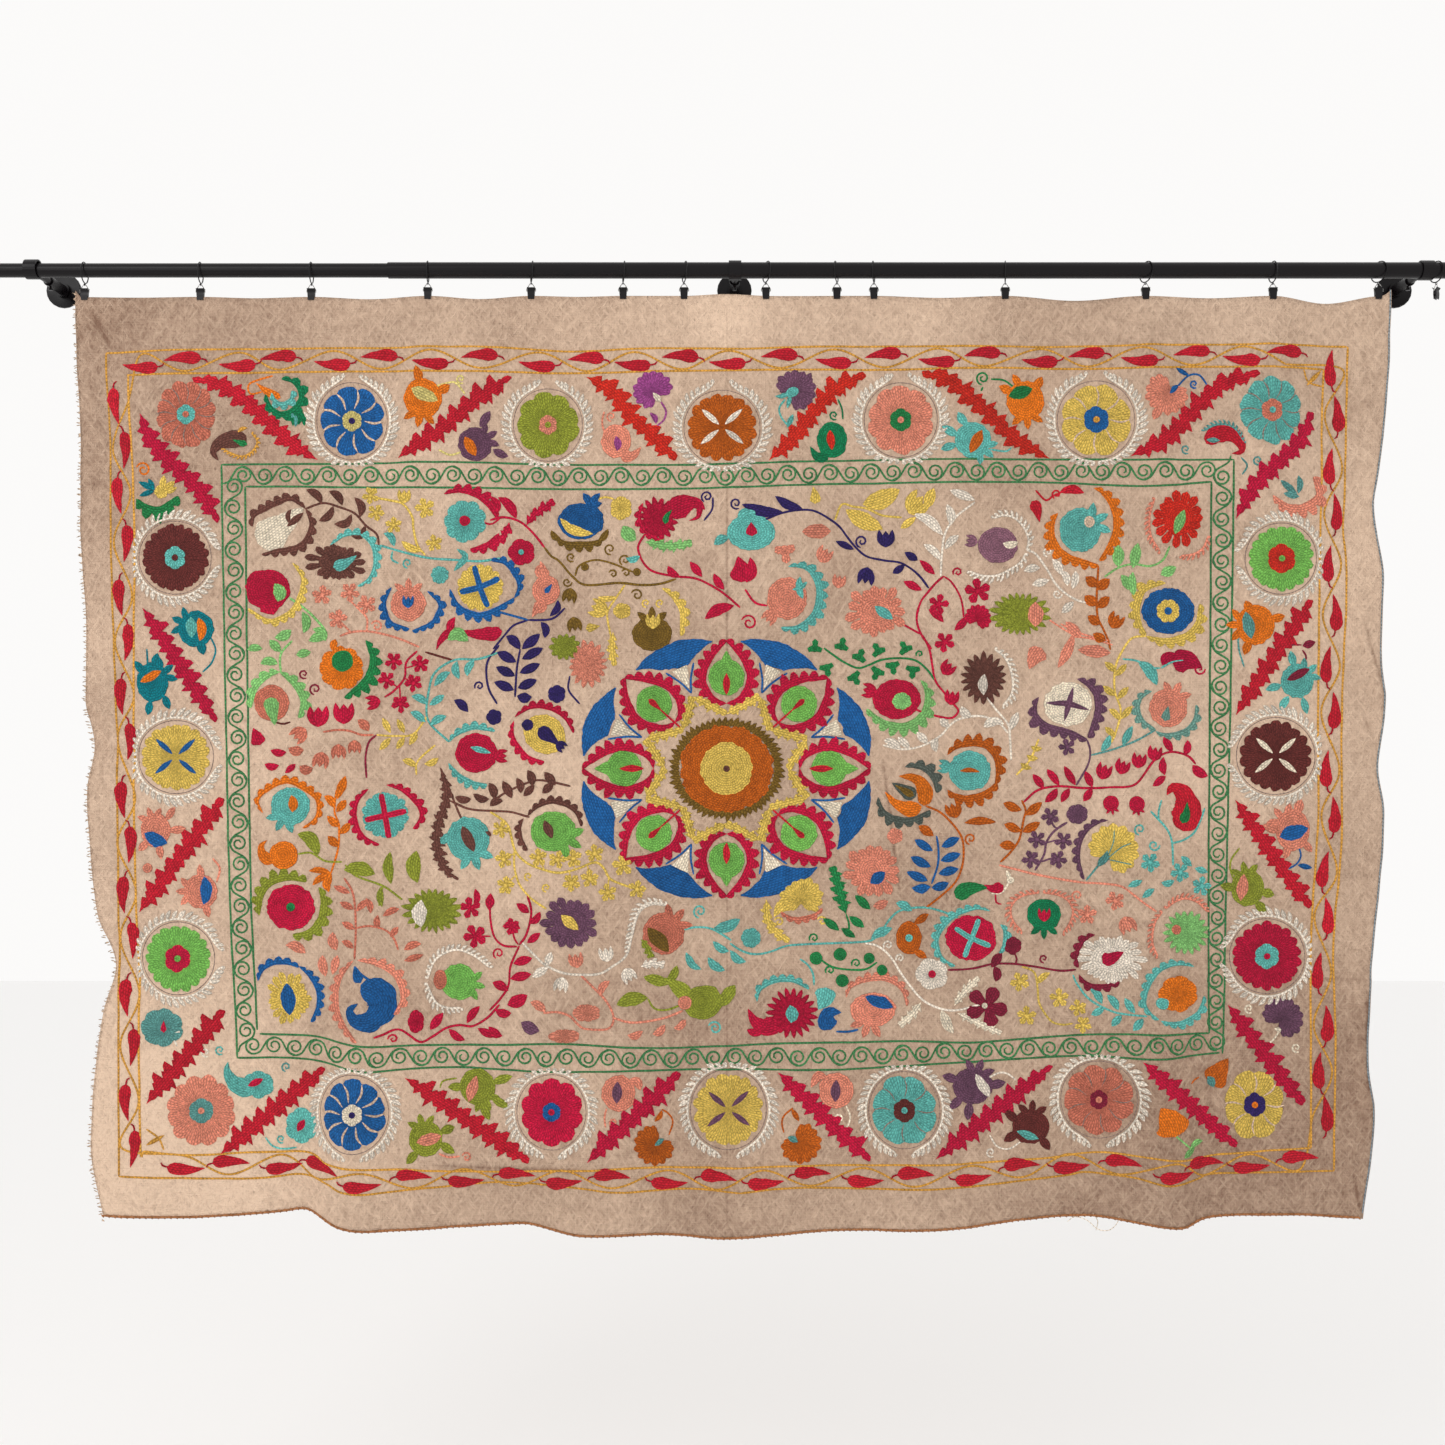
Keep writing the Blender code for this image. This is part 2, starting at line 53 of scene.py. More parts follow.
# %% Sizes of the hanging sheet
MM = 0.001
PIXEL = 1.6 * MM
ORIGIN_ACROSS_PX = 735
ROD_AXIS_DOWN_PX = 270
ROD_FROM_WALL = 115 * MM
CLOTH_THICKNESS = 2 * MM
GRIPPED_STRIP = 9 * MM
FIRST_FOLD_DEPTH = 60 * MM
FOOT_FLARE = 5 * MM
TOP_EDGE = (
    # across_px, down_px
    (75, 290.5), (79, 296.4), (89, 296.8), (140, 297.4), (200, 296.6), (255, 298.0), (311, 296.6),
    (370, 299.0), (427.5, 295.6), (480, 298.8), (531, 295.6), (578, 296.6), (623, 295.6), (684, 295.6),
    (725, 293.8), (766, 295.6), (805, 295.8), (837, 295.6), (874, 295.6), (940, 297.6), (1005.5, 295.6),
    (1075, 300.6), (1146, 295.6), (1210, 298.0), (1273.5, 295.6), (1326, 303.6), (1374, 296.2),
    (1384, 295.4), (1392, 289.4),
)
BOTTOM_EDGE = (
    # across_px, down_px
    (105.5, 1215), (195, 1218), (286, 1212), (305, 1209.5), (342, 1226), (374, 1231), (465, 1225.5),
    (521, 1223), (584, 1236), (656, 1233.5), (727, 1240), (828, 1231), (937, 1229), (1019, 1220),
    (1086, 1215), (1143, 1223), (1180, 1227), (1201, 1220), (1292, 1215.5), (1363, 1219),
)
LEFT_EDGE = (
    # down_px, across_px
    (290.5, 75), (350, 74), (440, 78.5), (515, 78.5), (635, 86), (700, 86), (749, 95), (790, 88),
    (854, 92), (915, 99), (968, 116), (1010, 105), (1146, 93), (1215, 105.5),
)
RIGHT_EDGE = (
    # down_px, across_px
    (289.4, 1392), (341, 1392), (430, 1386), (513, 1376.5), (575, 1385), (663, 1381), (708, 1385.5),
    (768, 1378), (815, 1384), (945, 1373), (985, 1369), (1060, 1366), (1120, 1374), (1219, 1363),
)
# Soft folds run from one photo pixel to another and swell towards the room, or away if minus.
FOLDS = (
    # across_px, down_px, to_across_px, to_down_px, half_width_mm, swell_mm
    (84, 318, 125, 420, 22, 6),
    (427, 318, 408, 470, 24, 6),
    (1147, 318, 1165, 470, 24, 6),
    (1274, 318, 1262, 440, 22, 5),
    (1326, 325, 1322, 430, 40, -6),
    (345, 1215, 372, 1010, 46, 14),
    (1172, 1215, 1160, 1040, 42, 12),
    (300, 1205, 318, 1040, 30, -8),
    (1210, 1205, 1212, 1080, 30, -7),
    (430, 1160, 590, 1166, 26, 9),
    (1361, 613, 1382, 692, 18, 7),
    (1364, 985, 1366, 1101, 18, 8),
    (116, 940, 150, 1000, 24, -7),
    (96, 720, 130, 760, 22, -6),
    (1376, 500, 1345, 530, 22, -5),
    (727, 420, 727, 1180, 26, 3),
)
# Long swells over the whole sheet, and shorter ones that only this finer sheet has.
SWELLS = (
    # swell_mm, wave_across_mm, wave_down_mm, start_deg
    (4.0, 780, 2600, 40),
    (3.0, 430, -1900, 150),
    (2.2, 260, 1300, 250),
    (0.5, 96, 240, 20),
    (0.5, -150, 88, 200),
    (0.3, 61, -74, 310),
)


# %% The shape of the sheet
def smooth_through(rows, at):
    """A smooth curve through a table's two columns, read at an array of keys, with no overshoot."""
    keys = np.array([row[0] for row in rows], float)
    values = np.array([row[1] for row in rows], float)
    slopes = np.diff(values) / np.diff(keys)
    inner = np.where(slopes[:-1] * slopes[1:] > 0, (slopes[:-1] + slopes[1:]) / 2, 0.0)
    leans = np.concatenate([slopes[:1], inner, slopes[-1:]])
    at = np.clip(at, keys[0], keys[-1])
    k = np.clip(np.searchsorted(keys, at, side="right") - 1, 0, len(keys) - 2)
    span = keys[k + 1] - keys[k]
    t = (at - keys[k]) / span
    start = values[k] * (1 + 2 * t) * (1 - t) ** 2 + leans[k] * span * t * (1 - t) ** 2
    end = values[k + 1] * t * t * (3 - 2 * t) + leans[k + 1] * span * t * t * (t - 1)
    return start + end


def smooth_step(share):
    """A soft step from 0 to 1."""
    share = np.clip(share, 0.0, 1.0)
    return share * share * (3 - 2 * share)


def cloth_depth(across_px, down_px):
    """How far the sheet's middle stands out from the rod's plane, towards the room, in metres."""
    x = (across_px - ORIGIN_ACROSS_PX) * PIXEL
    down = (down_px - ROD_AXIS_DOWN_PX) * PIXEL
    total = FOOT_FLARE * smooth_step(down / 1.5)
    for start_x, start_y, end_x, end_y, half_width, swell in FOLDS:
        run = complex(end_x - start_x, end_y - start_y)
        away = (across_px - start_x) + 1j * (down_px - start_y)
        along = np.clip(np.real(away * run.conjugate()) / abs(run) ** 2, 0.0, 1.0)
        gap = np.abs(away - run * along) * PIXEL / (half_width * MM)
        total = total + swell * MM * np.exp(-gap * gap)
    for swell, wave_across, wave_down, start in SWELLS:
        phase = x / (wave_across * MM) + down / (wave_down * MM)
        total = total + swell * MM * np.sin(2 * math.pi * phase + math.radians(start))
    below_top = down - (smooth_through(TOP_EDGE, across_px) - ROD_AXIS_DOWN_PX) * PIXEL
    return smooth_step((below_top - GRIPPED_STRIP) / FIRST_FOLD_DEPTH) * total


def on_cloth(places, lift):
    """World points for complex photo places, lifted towards the room from the sheet's middle."""
    across_px = np.real(places)
    down_px = np.imag(places)
    x = (across_px - ORIGIN_ACROSS_PX) * PIXEL
    y = -ROD_FROM_WALL - cloth_depth(across_px, down_px) - lift
    z = -(down_px - ROD_AXIS_DOWN_PX) * PIXEL
    return np.stack([x, y, z], axis=-1)


def sheet_places(u, v):
    """Photo places of the sheet for shares u across and v down, blended from its four edges."""
    top_across = TOP_EDGE[0][0] + u * (TOP_EDGE[-1][0] - TOP_EDGE[0][0])
    foot_across = BOTTOM_EDGE[0][0] + u * (BOTTOM_EDGE[-1][0] - BOTTOM_EDGE[0][0])
    left_down = LEFT_EDGE[0][0] + v * (LEFT_EDGE[-1][0] - LEFT_EDGE[0][0])
    right_down = RIGHT_EDGE[0][0] + v * (RIGHT_EDGE[-1][0] - RIGHT_EDGE[0][0])
    top = top_across + 1j * smooth_through(TOP_EDGE, top_across)
    foot = foot_across + 1j * smooth_through(BOTTOM_EDGE, foot_across)
    left = smooth_through(LEFT_EDGE, left_down) + 1j * left_down
    right = smooth_through(RIGHT_EDGE, right_down) + 1j * right_down
    corner = [complex(*TOP_EDGE[0]), complex(*TOP_EDGE[-1])]
    corner += [complex(*BOTTOM_EDGE[0]), complex(*BOTTOM_EDGE[-1])]
    between_ends = (1 - v) * top + v * foot + (1 - u) * left + u * right
    top_row = (1 - u) * corner[0] + u * corner[1]
    foot_row = (1 - u) * corner[2] + u * corner[3]
    return between_ends - (1 - v) * top_row - v * foot_row


middle = sheet_places(np.array([0.5]), np.array([0.5]))
print("Middle of the sheet in the photo:", middle)

# %% [markdown]
# The real sheet is hand-woven cotton, thin and soft. It starts as a flat grid. Each point of the grid is
# moved to its place between the four edges, and a Solidify modifier gives it its two faces and a rim.

# %% Make the sheet
CLOTH_COLUMNS = 250
CLOTH_ROWS = 168


def apply_modifiers(piece):
    """Fix a piece's modifiers into its mesh."""
    bpy.context.view_layer.objects.active = piece
    for modifier in list(piece.modifiers):
        bpy.ops.object.modifier_apply(modifier=modifier.name)


bpy.ops.object.select_all(action="DESELECT")
bpy.ops.mesh.primitive_grid_add(x_subdivisions=CLOTH_COLUMNS, y_subdivisions=CLOTH_ROWS, size=2)
cloth = bpy.context.object
cloth.name = "embroidered_cloth"
flat_points = np.empty(len(cloth.data.vertices) * 3)
cloth.data.vertices.foreach_get("co", flat_points)
flat_points = flat_points.reshape(-1, 3)
share_across = (flat_points[:, 0] + 1) / 2
share_down = (1 - flat_points[:, 1]) / 2
hung_points = on_cloth(sheet_places(share_across, share_down), 0.0)
cloth.data.vertices.foreach_set("co", hung_points.ravel())
solidify = cloth.modifiers.new("two faces", "SOLIDIFY")
solidify.thickness = CLOTH_THICKNESS
solidify.offset = 0
apply_modifiers(cloth)
bpy.ops.object.shade_smooth()
print("Sheet faces:", len(cloth.data.polygons))

# %% [markdown]
# Colours are read from the photo as 0 to 255 and turned into the linear values that shaders use.

# %% Yarn colours
YARNS = {
    # name: red, green, blue
    "gold": (228, 166, 70),
    "chili": (205, 28, 48),
    "crimson": (202, 18, 62),
    "dark_red": (172, 12, 40),
    "scarlet": (215, 45, 30),
    "scroll": (66, 132, 80),
    "blue": (28, 98, 164),
    "navy": (48, 34, 96),
    "turquoise": (104, 192, 182),
    "grey_teal": (96, 158, 152),
    "teal": (0, 128, 140),
    "salmon": (238, 146, 120),
    "dull_salmon": (215, 122, 98),
    "rust": (202, 98, 22),
    "orange": (238, 122, 26),
    "olive": (150, 158, 52),
    "bronze": (126, 96, 34),
    "brown": (112, 68, 58),
    "lime": (124, 192, 88),
    "pale_green": (140, 205, 120),
    "green": (34, 134, 72),
    "emerald": (12, 124, 78),
    "maroon": (140, 32, 58),
    "red_brown": (108, 46, 42),
    "purple": (164, 74, 142),
    "mauve": (116, 76, 100),
    "plum": (152, 104, 122),
    "slate": (88, 96, 88),
    "yellow": (238, 202, 96),
    "pale_yellow": (232, 214, 132),
    "cream": (250, 234, 208),
    "white": (248, 234, 216),
    "beige": (224, 194, 168),
    "magenta": (188, 14, 62),
    "grey_green": (118, 166, 152),
    "drawn_line": (150, 128, 118),
    "hem": (176, 118, 76),
    "selvedge": (140, 150, 156),
    "fray": (196, 170, 146),
}


def to_linear(colour):
    """Linear red, green and blue for a 0 to 255 colour."""
    share = np.array(colour, float) / 255
    return np.where(share <= 0.04045, share / 12.92, ((share + 0.055) / 1.055) ** 2.4)


print("Yarns:", len(YARNS))

# %% [markdown]
# A shader group carries the fine structure of the needlework. It reads a piece's UV, which is laid in
# metres across and along the rows of stitches, and gives a height and a shade for each loop of yarn. The
# ground cloth has a material of its own, with crossing threads, small wrinkles and a cloudy tone.


# %% Node helpers
def new_group(name, inputs, outputs):
    """An empty node group with the named sockets, each given as (name, kind)."""
    group = bpy.data.node_groups.new(name, "ShaderNodeTree")
    for label, kind in inputs:
        group.interface.new_socket(label, in_out="INPUT", socket_type=kind)
    for label, kind in outputs:
        group.interface.new_socket(label, in_out="OUTPUT", socket_type=kind)
    return group


def add_node(tree, kind, settings=(), values=()):
    """One node with its settings. Each named input takes a constant or a link from another node."""
    made = tree.nodes.new(kind)
    for label, value in dict(settings).items():
        setattr(made, label, value)
    for label, value in dict(values).items():
        if isinstance(value, bpy.types.NodeSocket):
            tree.links.new(value, made.inputs[label])
        else:
            made.inputs[label].default_value = value
    return made


def add_math(tree, operation, first, second=None):
    """A Math node. Each operand is a socket or a number."""
    operands = {0: first} if second is None else {0: first, 1: second}
    return add_node(tree, "ShaderNodeMath", {"operation": operation}, operands).outputs[0]


def add_noise(tree, vector, scale, detail=2.0):
    """A Noise node's factor over a vector."""
    values = {"Vector": vector, "Scale": scale, "Detail": detail}
    made = add_node(tree, "ShaderNodeTexNoise", values=values)
    return made.outputs["Factor" if "Factor" in made.outputs else "Fac"]


def new_material(name):
    """A material with its node tree and its shader."""
    made = bpy.data.materials.new(name)
    made.use_nodes = True
    return made, made.node_tree, made.node_tree.nodes["Principled BSDF"]


# %% Chain stitch group
STITCH_ROW = 3.8 * MM
STITCH_LENGTH = 6.0 * MM


def make_stitch_group():
    """Height and shade of chain stitch rows from UV in metres: u across the rows, v along them."""
    group = new_group(
        "chain stitch",
        [("UV", "NodeSocketVector")],
        [("Height", "NodeSocketFloat"), ("Shade", "NodeSocketFloat")],
    )
    ends_in = group.nodes.new("NodeGroupInput")
    ends_out = group.nodes.new("NodeGroupOutput")
    split = add_node(group, "ShaderNodeSeparateXYZ", values={0: ends_in.outputs["UV"]})
    rows = add_math(group, "DIVIDE", split.outputs[0], STITCH_ROW)
    row = add_math(group, "FLOOR", rows)
    over_row = add_math(group, "FRACT", rows)
    from_centre = add_math(group, "ABSOLUTE", add_math(group, "SUBTRACT", over_row, 0.5))
    shift = add_math(group, "MULTIPLY", row, 0.37)
    along = add_math(group, "DIVIDE", split.outputs[1], STITCH_LENGTH)
    slanted = add_math(group, "ADD", along, add_math(group, "MULTIPLY", from_centre, 0.9))
    over_stitch = add_math(group, "FRACT", add_math(group, "ADD", slanted, shift))
    ridge = add_math(group, "SINE", add_math(group, "MULTIPLY", over_row, math.pi))
    loop = add_math(group, "SINE", add_math(group, "MULTIPLY", over_stitch, math.pi))
    round_row = add_math(group, "POWER", ridge, 0.6)
    round_loop = add_math(group, "POWER", loop, 0.5)
    height = add_math(group, "MULTIPLY", round_row, round_loop)
    stitch_number = add_math(group, "FLOOR", add_math(group, "ADD", slanted, shift))
    mixed = add_node(group, "ShaderNodeCombineXYZ", values={0: row, 1: stitch_number})
    noise = add_node(group, "ShaderNodeTexWhiteNoise", values={"Vector": mixed.outputs[0]})
    group.links.new(height, ends_out.inputs["Height"])
    group.links.new(noise.outputs["Value"], ends_out.inputs["Shade"])
    return group


stitch_group = make_stitch_group()
print("Nodes in the stitch group:", len(stitch_group.nodes))


# %% Yarn material
def make_yarn_material():
    """One material for all the needlework: the colour comes from each shape's own attribute, with painted
    shade in the grooves between the loops.
    """
    made, tree, shader = new_material("yarn")
    colour = add_node(tree, "ShaderNodeAttribute", {"attribute_name": "yarn"})
    layout = add_node(tree, "ShaderNodeUVMap", {"uv_map": "rows"})
    stitches = add_node(tree, "ShaderNodeGroup", {"node_tree": stitch_group}, {"UV": layout.outputs[0]})
    place = add_node(tree, "ShaderNodeTexCoord").outputs["Object"]
    cloudy = add_noise(tree, place, 55.0)
    knots = add_noise(tree, place, 330.0, 1.0)
    # Painted shade: the stitch height also darkens the yarn's colour in the grooves between rows and loops.
    painted_groove_shade = add_math(tree, "MULTIPLY", stitches.outputs["Height"], 0.50)
    tone = add_math(tree, "MULTIPLY", stitches.outputs["Shade"], 0.26)
    drift = add_math(tree, "MULTIPLY", cloudy, 0.30)
    mottle = add_math(tree, "MULTIPLY", knots, 0.70)
    stitched = add_math(tree, "ADD", painted_groove_shade, tone)
    clouded = add_math(tree, "ADD", drift, mottle)
    level = add_math(tree, "SUBTRACT", add_math(tree, "ADD", stitched, clouded), 0.10)
    values = {0: colour.outputs["Color"], "Scale": level}
    tinted = add_node(tree, "ShaderNodeVectorMath", {"operation": "SCALE"}, values)
    tree.links.new(tinted.outputs[0], shader.inputs["Base Color"])
    values = {"Strength": 0.9, "Distance": 1.6 * MM, "Height": stitches.outputs["Height"]}
    bump = add_node(tree, "ShaderNodeBump", values=values)
    tree.links.new(bump.outputs[0], shader.inputs["Normal"])
    shader.inputs["Roughness"].default_value = 0.75
    shader.inputs["Specular IOR Level"].default_value = 0.22
    return made


yarn_material = make_yarn_material()
print("Yarn material ready")


# %% Ground cloth material
# The cloth is lighter and darker in broad patches, lighter if plus and darker if minus. The small pale
# patch at the top middle is bleaching, and the large pale patch at the bottom left is painted light.
STAINS_AND_PAINTED_LIGHT = (
    # across_px, down_px, radius_px, lighter
    (725, 322, 47, 0.22),
    (120, 340, 330, -0.30),
    # Painted light: this large pale patch at the bottom left lies where the lamp falls brightest.
    (150, 1190, 340, 0.34),
    (1370, 590, 420, 0.24),
    (1330, 1210, 330, -0.20),
    (800, 310, 300, 0.12),
    (760, 1210, 420, -0.12),
)
WRINKLE_WIDTH = 4.6 * MM
WRINKLE_LENGTH = 17 * MM
GROUND_DARK = (138, 108, 90)
GROUND_PALE = (239, 208, 181)
# How much each kind of unevenness moves the cloth's tone from dark to pale.
CLOUD_SHARE = 0.66
SPOT_SHARE = 0.22
THREAD_SHARE = 0.22
# The wrinkles are painted into the tone as well, paler on their ridges and darker in their hollows: painted
# light and shade.
WRINKLE_SHADE_SHARE = 0.80
TONE_START = 0.46
# Painted shade: old folds and creases are darkened as thin lines, from one photo pixel to another.
PAINTED_CREASE_SHADE = (
    # across_px, down_px, to_across_px, to_down_px, width_mm, darkness
    (727, 300, 727, 480, 2.4, 0.12),
    (727, 480, 727, 700, 3.2, 0.26),
    (727, 840, 727, 1235, 2.4, 0.14),
    (883, 760, 901, 901, 4.5, 0.26),
    (430, 1163, 590, 1169, 6.0, 0.24),
    (1361, 613, 1382, 692, 5.0, 0.26),
    (1360, 708, 1373, 739, 4.0, 0.22),
    (1364, 985, 1367, 1101, 5.0, 0.22),
    (1353, 1168, 1361, 1218, 4.0, 0.22),
    (88, 306, 113, 352, 7.0, 0.24),
    (199, 302, 199, 338, 4.0, 0.12),
    (1240, 753, 1380, 753, 5.0, 0.10),
    (1230, 979, 1370, 979, 5.0, 0.10),
    (342, 1190, 352, 1226, 6.0, 0.16),
)


def near_point(tree, split, across_px, down_px, radius_px):
    """1 at a photo place on the cloth's plane, falling to 0 at a radius from it."""
    across = (across_px - ORIGIN_ACROSS_PX) * PIXEL
    up = (ROD_AXIS_DOWN_PX - down_px) * PIXEL
    beside = add_math(tree, "POWER", add_math(tree, "SUBTRACT", split.outputs[0], across), 2.0)
    below = add_math(tree, "POWER", add_math(tree, "SUBTRACT", split.outputs[2], up), 2.0)
    away = add_math(tree, "SQRT", add_math(tree, "ADD", beside, below))
    share = add_math(tree, "DIVIDE", away, radius_px * PIXEL)
    return add_math(tree, "MAXIMUM", add_math(tree, "SUBTRACT", 1.0, share), 0.0)


def add_dot(tree, vector, across, up):
    """How far a vector reaches in a direction of the cloth's plane."""
    values = {0: vector, 1: (across, 0, up)}
    return add_node(tree, "ShaderNodeVectorMath", {"operation": "DOT_PRODUCT"}, values).outputs["Value"]


def near_line(tree, place, start, end, width):
    """1 on a line of the cloth's plane between two photo places, falling to 0 beside it and at its ends."""
    run = (end - start).conjugate() * PIXEL
    length = abs(run)
    run /= length
    x = (start.real - ORIGIN_ACROSS_PX) * PIXEL
    z = -(start.imag - ROD_AXIS_DOWN_PX) * PIXEL
    values = {0: place, 1: (x, 0, z)}
    from_start = add_node(tree, "ShaderNodeVectorMath", {"operation": "SUBTRACT"}, values).outputs[0]
    along = add_dot(tree, from_start, run.real, run.imag)
    away = add_math(tree, "ABSOLUTE", add_dot(tree, from_start, -run.imag, run.real))
    to_end = add_math(tree, "MINIMUM", along, add_math(tree, "SUBTRACT", length, along))
    faded = add_math(tree, "MINIMUM", add_math(tree, "DIVIDE", to_end, 0.03), 1.0)
    inside = add_math(tree, "MAXIMUM", faded, 0.0)
    beside = add_math(tree, "SUBTRACT", 1.0, add_math(tree, "DIVIDE", away, width))
    return add_math(tree, "MULTIPLY", inside, add_math(tree, "MAXIMUM", beside, 0.0))


def add_crinkle(tree, place, lean):
    """Small wrinkles that lean to one side, as a noise stretched along them."""
    values = {
        "Vector": place,
        "Rotation": (0, math.radians(lean), 0),
        "Scale": (WRINKLE_WIDTH, WRINKLE_LENGTH, WRINKLE_LENGTH),
    }
    stretch = add_node(tree, "ShaderNodeMapping", {"vector_type": "TEXTURE"}, values)
    return add_noise(tree, stretch.outputs[0], 1.0, 3.0)


def make_ground_material():
    """Beige hand-woven cotton: crossing threads, crinkles and cloudy patches, with painted light and shade:
    lighter towards the left, pale and dark on the wrinkles, and dark lines in the creases.
    """
    made, tree, shader = new_material("hand-woven cotton")
    place = add_node(tree, "ShaderNodeTexCoord").outputs["Object"]
    split = add_node(tree, "ShaderNodeSeparateXYZ", values={0: place})
    clouds = add_noise(tree, place, 4.0, 4.0)
    spots = add_noise(tree, place, 60.0, 3.0)
    weft_map = add_node(tree, "ShaderNodeMapping", values={"Vector": place, "Scale": (45.0, 1.0, 520.0)})
    warp_map = add_node(tree, "ShaderNodeMapping", values={"Vector": place, "Scale": (520.0, 1.0, 45.0)})
    weft = add_noise(tree, weft_map.outputs[0], 1.0)
    warp = add_noise(tree, warp_map.outputs[0], 1.0)
    threads = add_math(tree, "ADD", weft, warp)
    crinkle = add_math(tree, "MAXIMUM", add_crinkle(tree, place, 33), add_crinkle(tree, place, -38))
    # Painted light: the cloth's colour grows lighter towards the left, where the lamp stands.
    painted_light_from_left = add_math(tree, "MULTIPLY", split.outputs[0], -0.07)
    fade = add_math(tree, "MULTIPLY", clouds, CLOUD_SHARE)
    fleck = add_math(tree, "MULTIPLY", spots, SPOT_SHARE)
    grain = add_math(tree, "MULTIPLY", threads, THREAD_SHARE)
    painted_wrinkle_shade = add_math(tree, "MULTIPLY", crinkle, WRINKLE_SHADE_SHARE)
    broad = add_math(tree, "ADD", add_math(tree, "ADD", fade, fleck), painted_light_from_left)
    fine = add_math(tree, "ADD", grain, painted_wrinkle_shade)
    level = add_math(tree, "SUBTRACT", add_math(tree, "ADD", broad, fine), TONE_START)
    for across_px, down_px, radius_px, lighter in STAINS_AND_PAINTED_LIGHT:
        patch = near_point(tree, split, across_px, down_px, radius_px)
        level = add_math(tree, "ADD", level, add_math(tree, "MULTIPLY", patch, lighter))
    for x_px, y_px, to_x_px, to_y_px, width, darkness in PAINTED_CREASE_SHADE:
        line = near_line(tree, place, complex(x_px, y_px), complex(to_x_px, to_y_px), width * MM)
        level = add_math(tree, "SUBTRACT", level, add_math(tree, "MULTIPLY", line, darkness))
    ramp = add_node(tree, "ShaderNodeValToRGB", values={0: level})
    ramp.color_ramp.elements[0].position = 0.20
    ramp.color_ramp.elements[0].color = (*to_linear(GROUND_DARK), 1)
    ramp.color_ramp.elements[1].position = 0.95
    ramp.color_ramp.elements[1].color = (*to_linear(GROUND_PALE), 1)
    tree.links.new(ramp.outputs[0], shader.inputs["Base Color"])
    relief = add_math(tree, "ADD", add_math(tree, "MULTIPLY", crinkle, 3.0), threads)
    values = {"Strength": 0.9, "Distance": 2.6 * MM, "Height": relief}
    bump = add_node(tree, "ShaderNodeBump", values=values)
    tree.links.new(bump.outputs[0], shader.inputs["Normal"])
    shader.inputs["Roughness"].default_value = 0.95
    shader.inputs["Specular IOR Level"].default_value = 0.1
    return made


ground_material = make_ground_material()
cloth.data.materials.clear()
cloth.data.materials.append(ground_material)
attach(cloth, "root")
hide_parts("cloth")
print("Sheet material:", cloth.data.materials[0].name)

# %% [markdown]
# All the needlework is sewn with a few shapes. A stroke follows a path and has a half width at each step:
# that makes stems, leaves, petals, chilies and toothed crescents. A round shape has an outline about its
# centre: that makes discs, fruit and flowers. Both rise from the cloth in a low arch, like laid yarn, and
# their rims lie just under the cloth's face. UVs run in metres across and along the rows of stitches.
# Places are complex numbers in photo pixels, x to the right and y down. Angles are in degrees, clockwise
# from the right.

# %% Sewing kit
YARN_HEIGHT = 0.8 * MM
LAYER_RISE = 0.75 * MM
STEP_PX = 3.0
STROKE_ACROSS = np.array([-1.0, -0.68, 0.0, 0.68, 1.0])
STROKE_ARCH = np.array([-0.35, 0.85, 1.0, 0.85, -0.35])
ROUND_SHARES = np.array([1.0, 0.93, 0.8, 0.55, 0.3, 0.005])
ROUND_ARCH = np.array([-0.35, 0.8, 1.0, 1.05, 1.08, 1.1])
chance = np.random.default_rng(7)
sewn = []


def toward(degrees):
    """Unit place in a direction."""
    return np.exp(1j * np.radians(degrees))


def keep(places, lift, uv, yarn):
    """Store one grid of stitched surface, rows by columns, for the piece being sewn."""
    rows, columns = places.shape
    number = np.arange(rows * columns).reshape(rows, columns)
    corners = (number[:-1, :-1], number[1:, :-1], number[1:, 1:], number[:-1, 1:])
    faces = np.stack([c.ravel() for c in corners], axis=-1)
    jitter = 1 + 0.07 * chance.standard_normal()
    colour = np.append(to_linear(YARNS[yarn]) * jitter, 1.0)
    points = on_cloth(places, CLOTH_THICKNESS / 2 + lift)
    sewn.append((points.reshape(-1, 3), faces, uv.reshape(-1, 2), colour))


def uneven(count, spread):
    """Factors near 1 that drift along a rim, so that no two shapes are the same."""
    rough = 1 + spread * chance.standard_normal(count)
    return (np.roll(rough, 1) + rough + np.roll(rough, -1)) / 3


def base_lift(layer):
    """Height of a layer above the cloth's face, with a little play so that no two shapes coincide."""
    return layer * LAYER_RISE + (len(sewn) % 9) * 0.02 * MM


def curve_through(places, step=STEP_PX):
    """Evenly spaced places on a smooth curve through the given ones."""
    places = np.asarray(places, complex)
    if len(places) == 2:
        fine = np.linspace(places[0], places[1], 30)
    else:
        ends = np.concatenate([[2 * places[0] - places[1]], places, [2 * places[-1] - places[-2]]])
        t = np.linspace(0, 1, 14, endpoint=False)[:, None]
        before, here, after, beyond = ends[:-3], ends[1:-2], ends[2:-1], ends[3:]
        turn = 2 * before - 5 * here + 4 * after - beyond
        last = 3 * here - before - 3 * after + beyond
        fine = (2 * here + (after - before) * t + turn * t**2 + last * t**3) / 2
        fine = np.append(fine.T.ravel(), places[-1])
    far = np.concatenate([[0], np.cumsum(np.abs(np.diff(fine)))])
    count = max(4, int(round(far[-1] / step)) + 1)
    at = np.linspace(0, far[-1], count)
    return np.interp(at, far, fine.real) + 1j * np.interp(at, far, fine.imag)


def heading(path):
    """Unit direction of travel at each step of a path."""
    run = np.gradient(path)
    return run / np.maximum(np.abs(run), 1e-9)


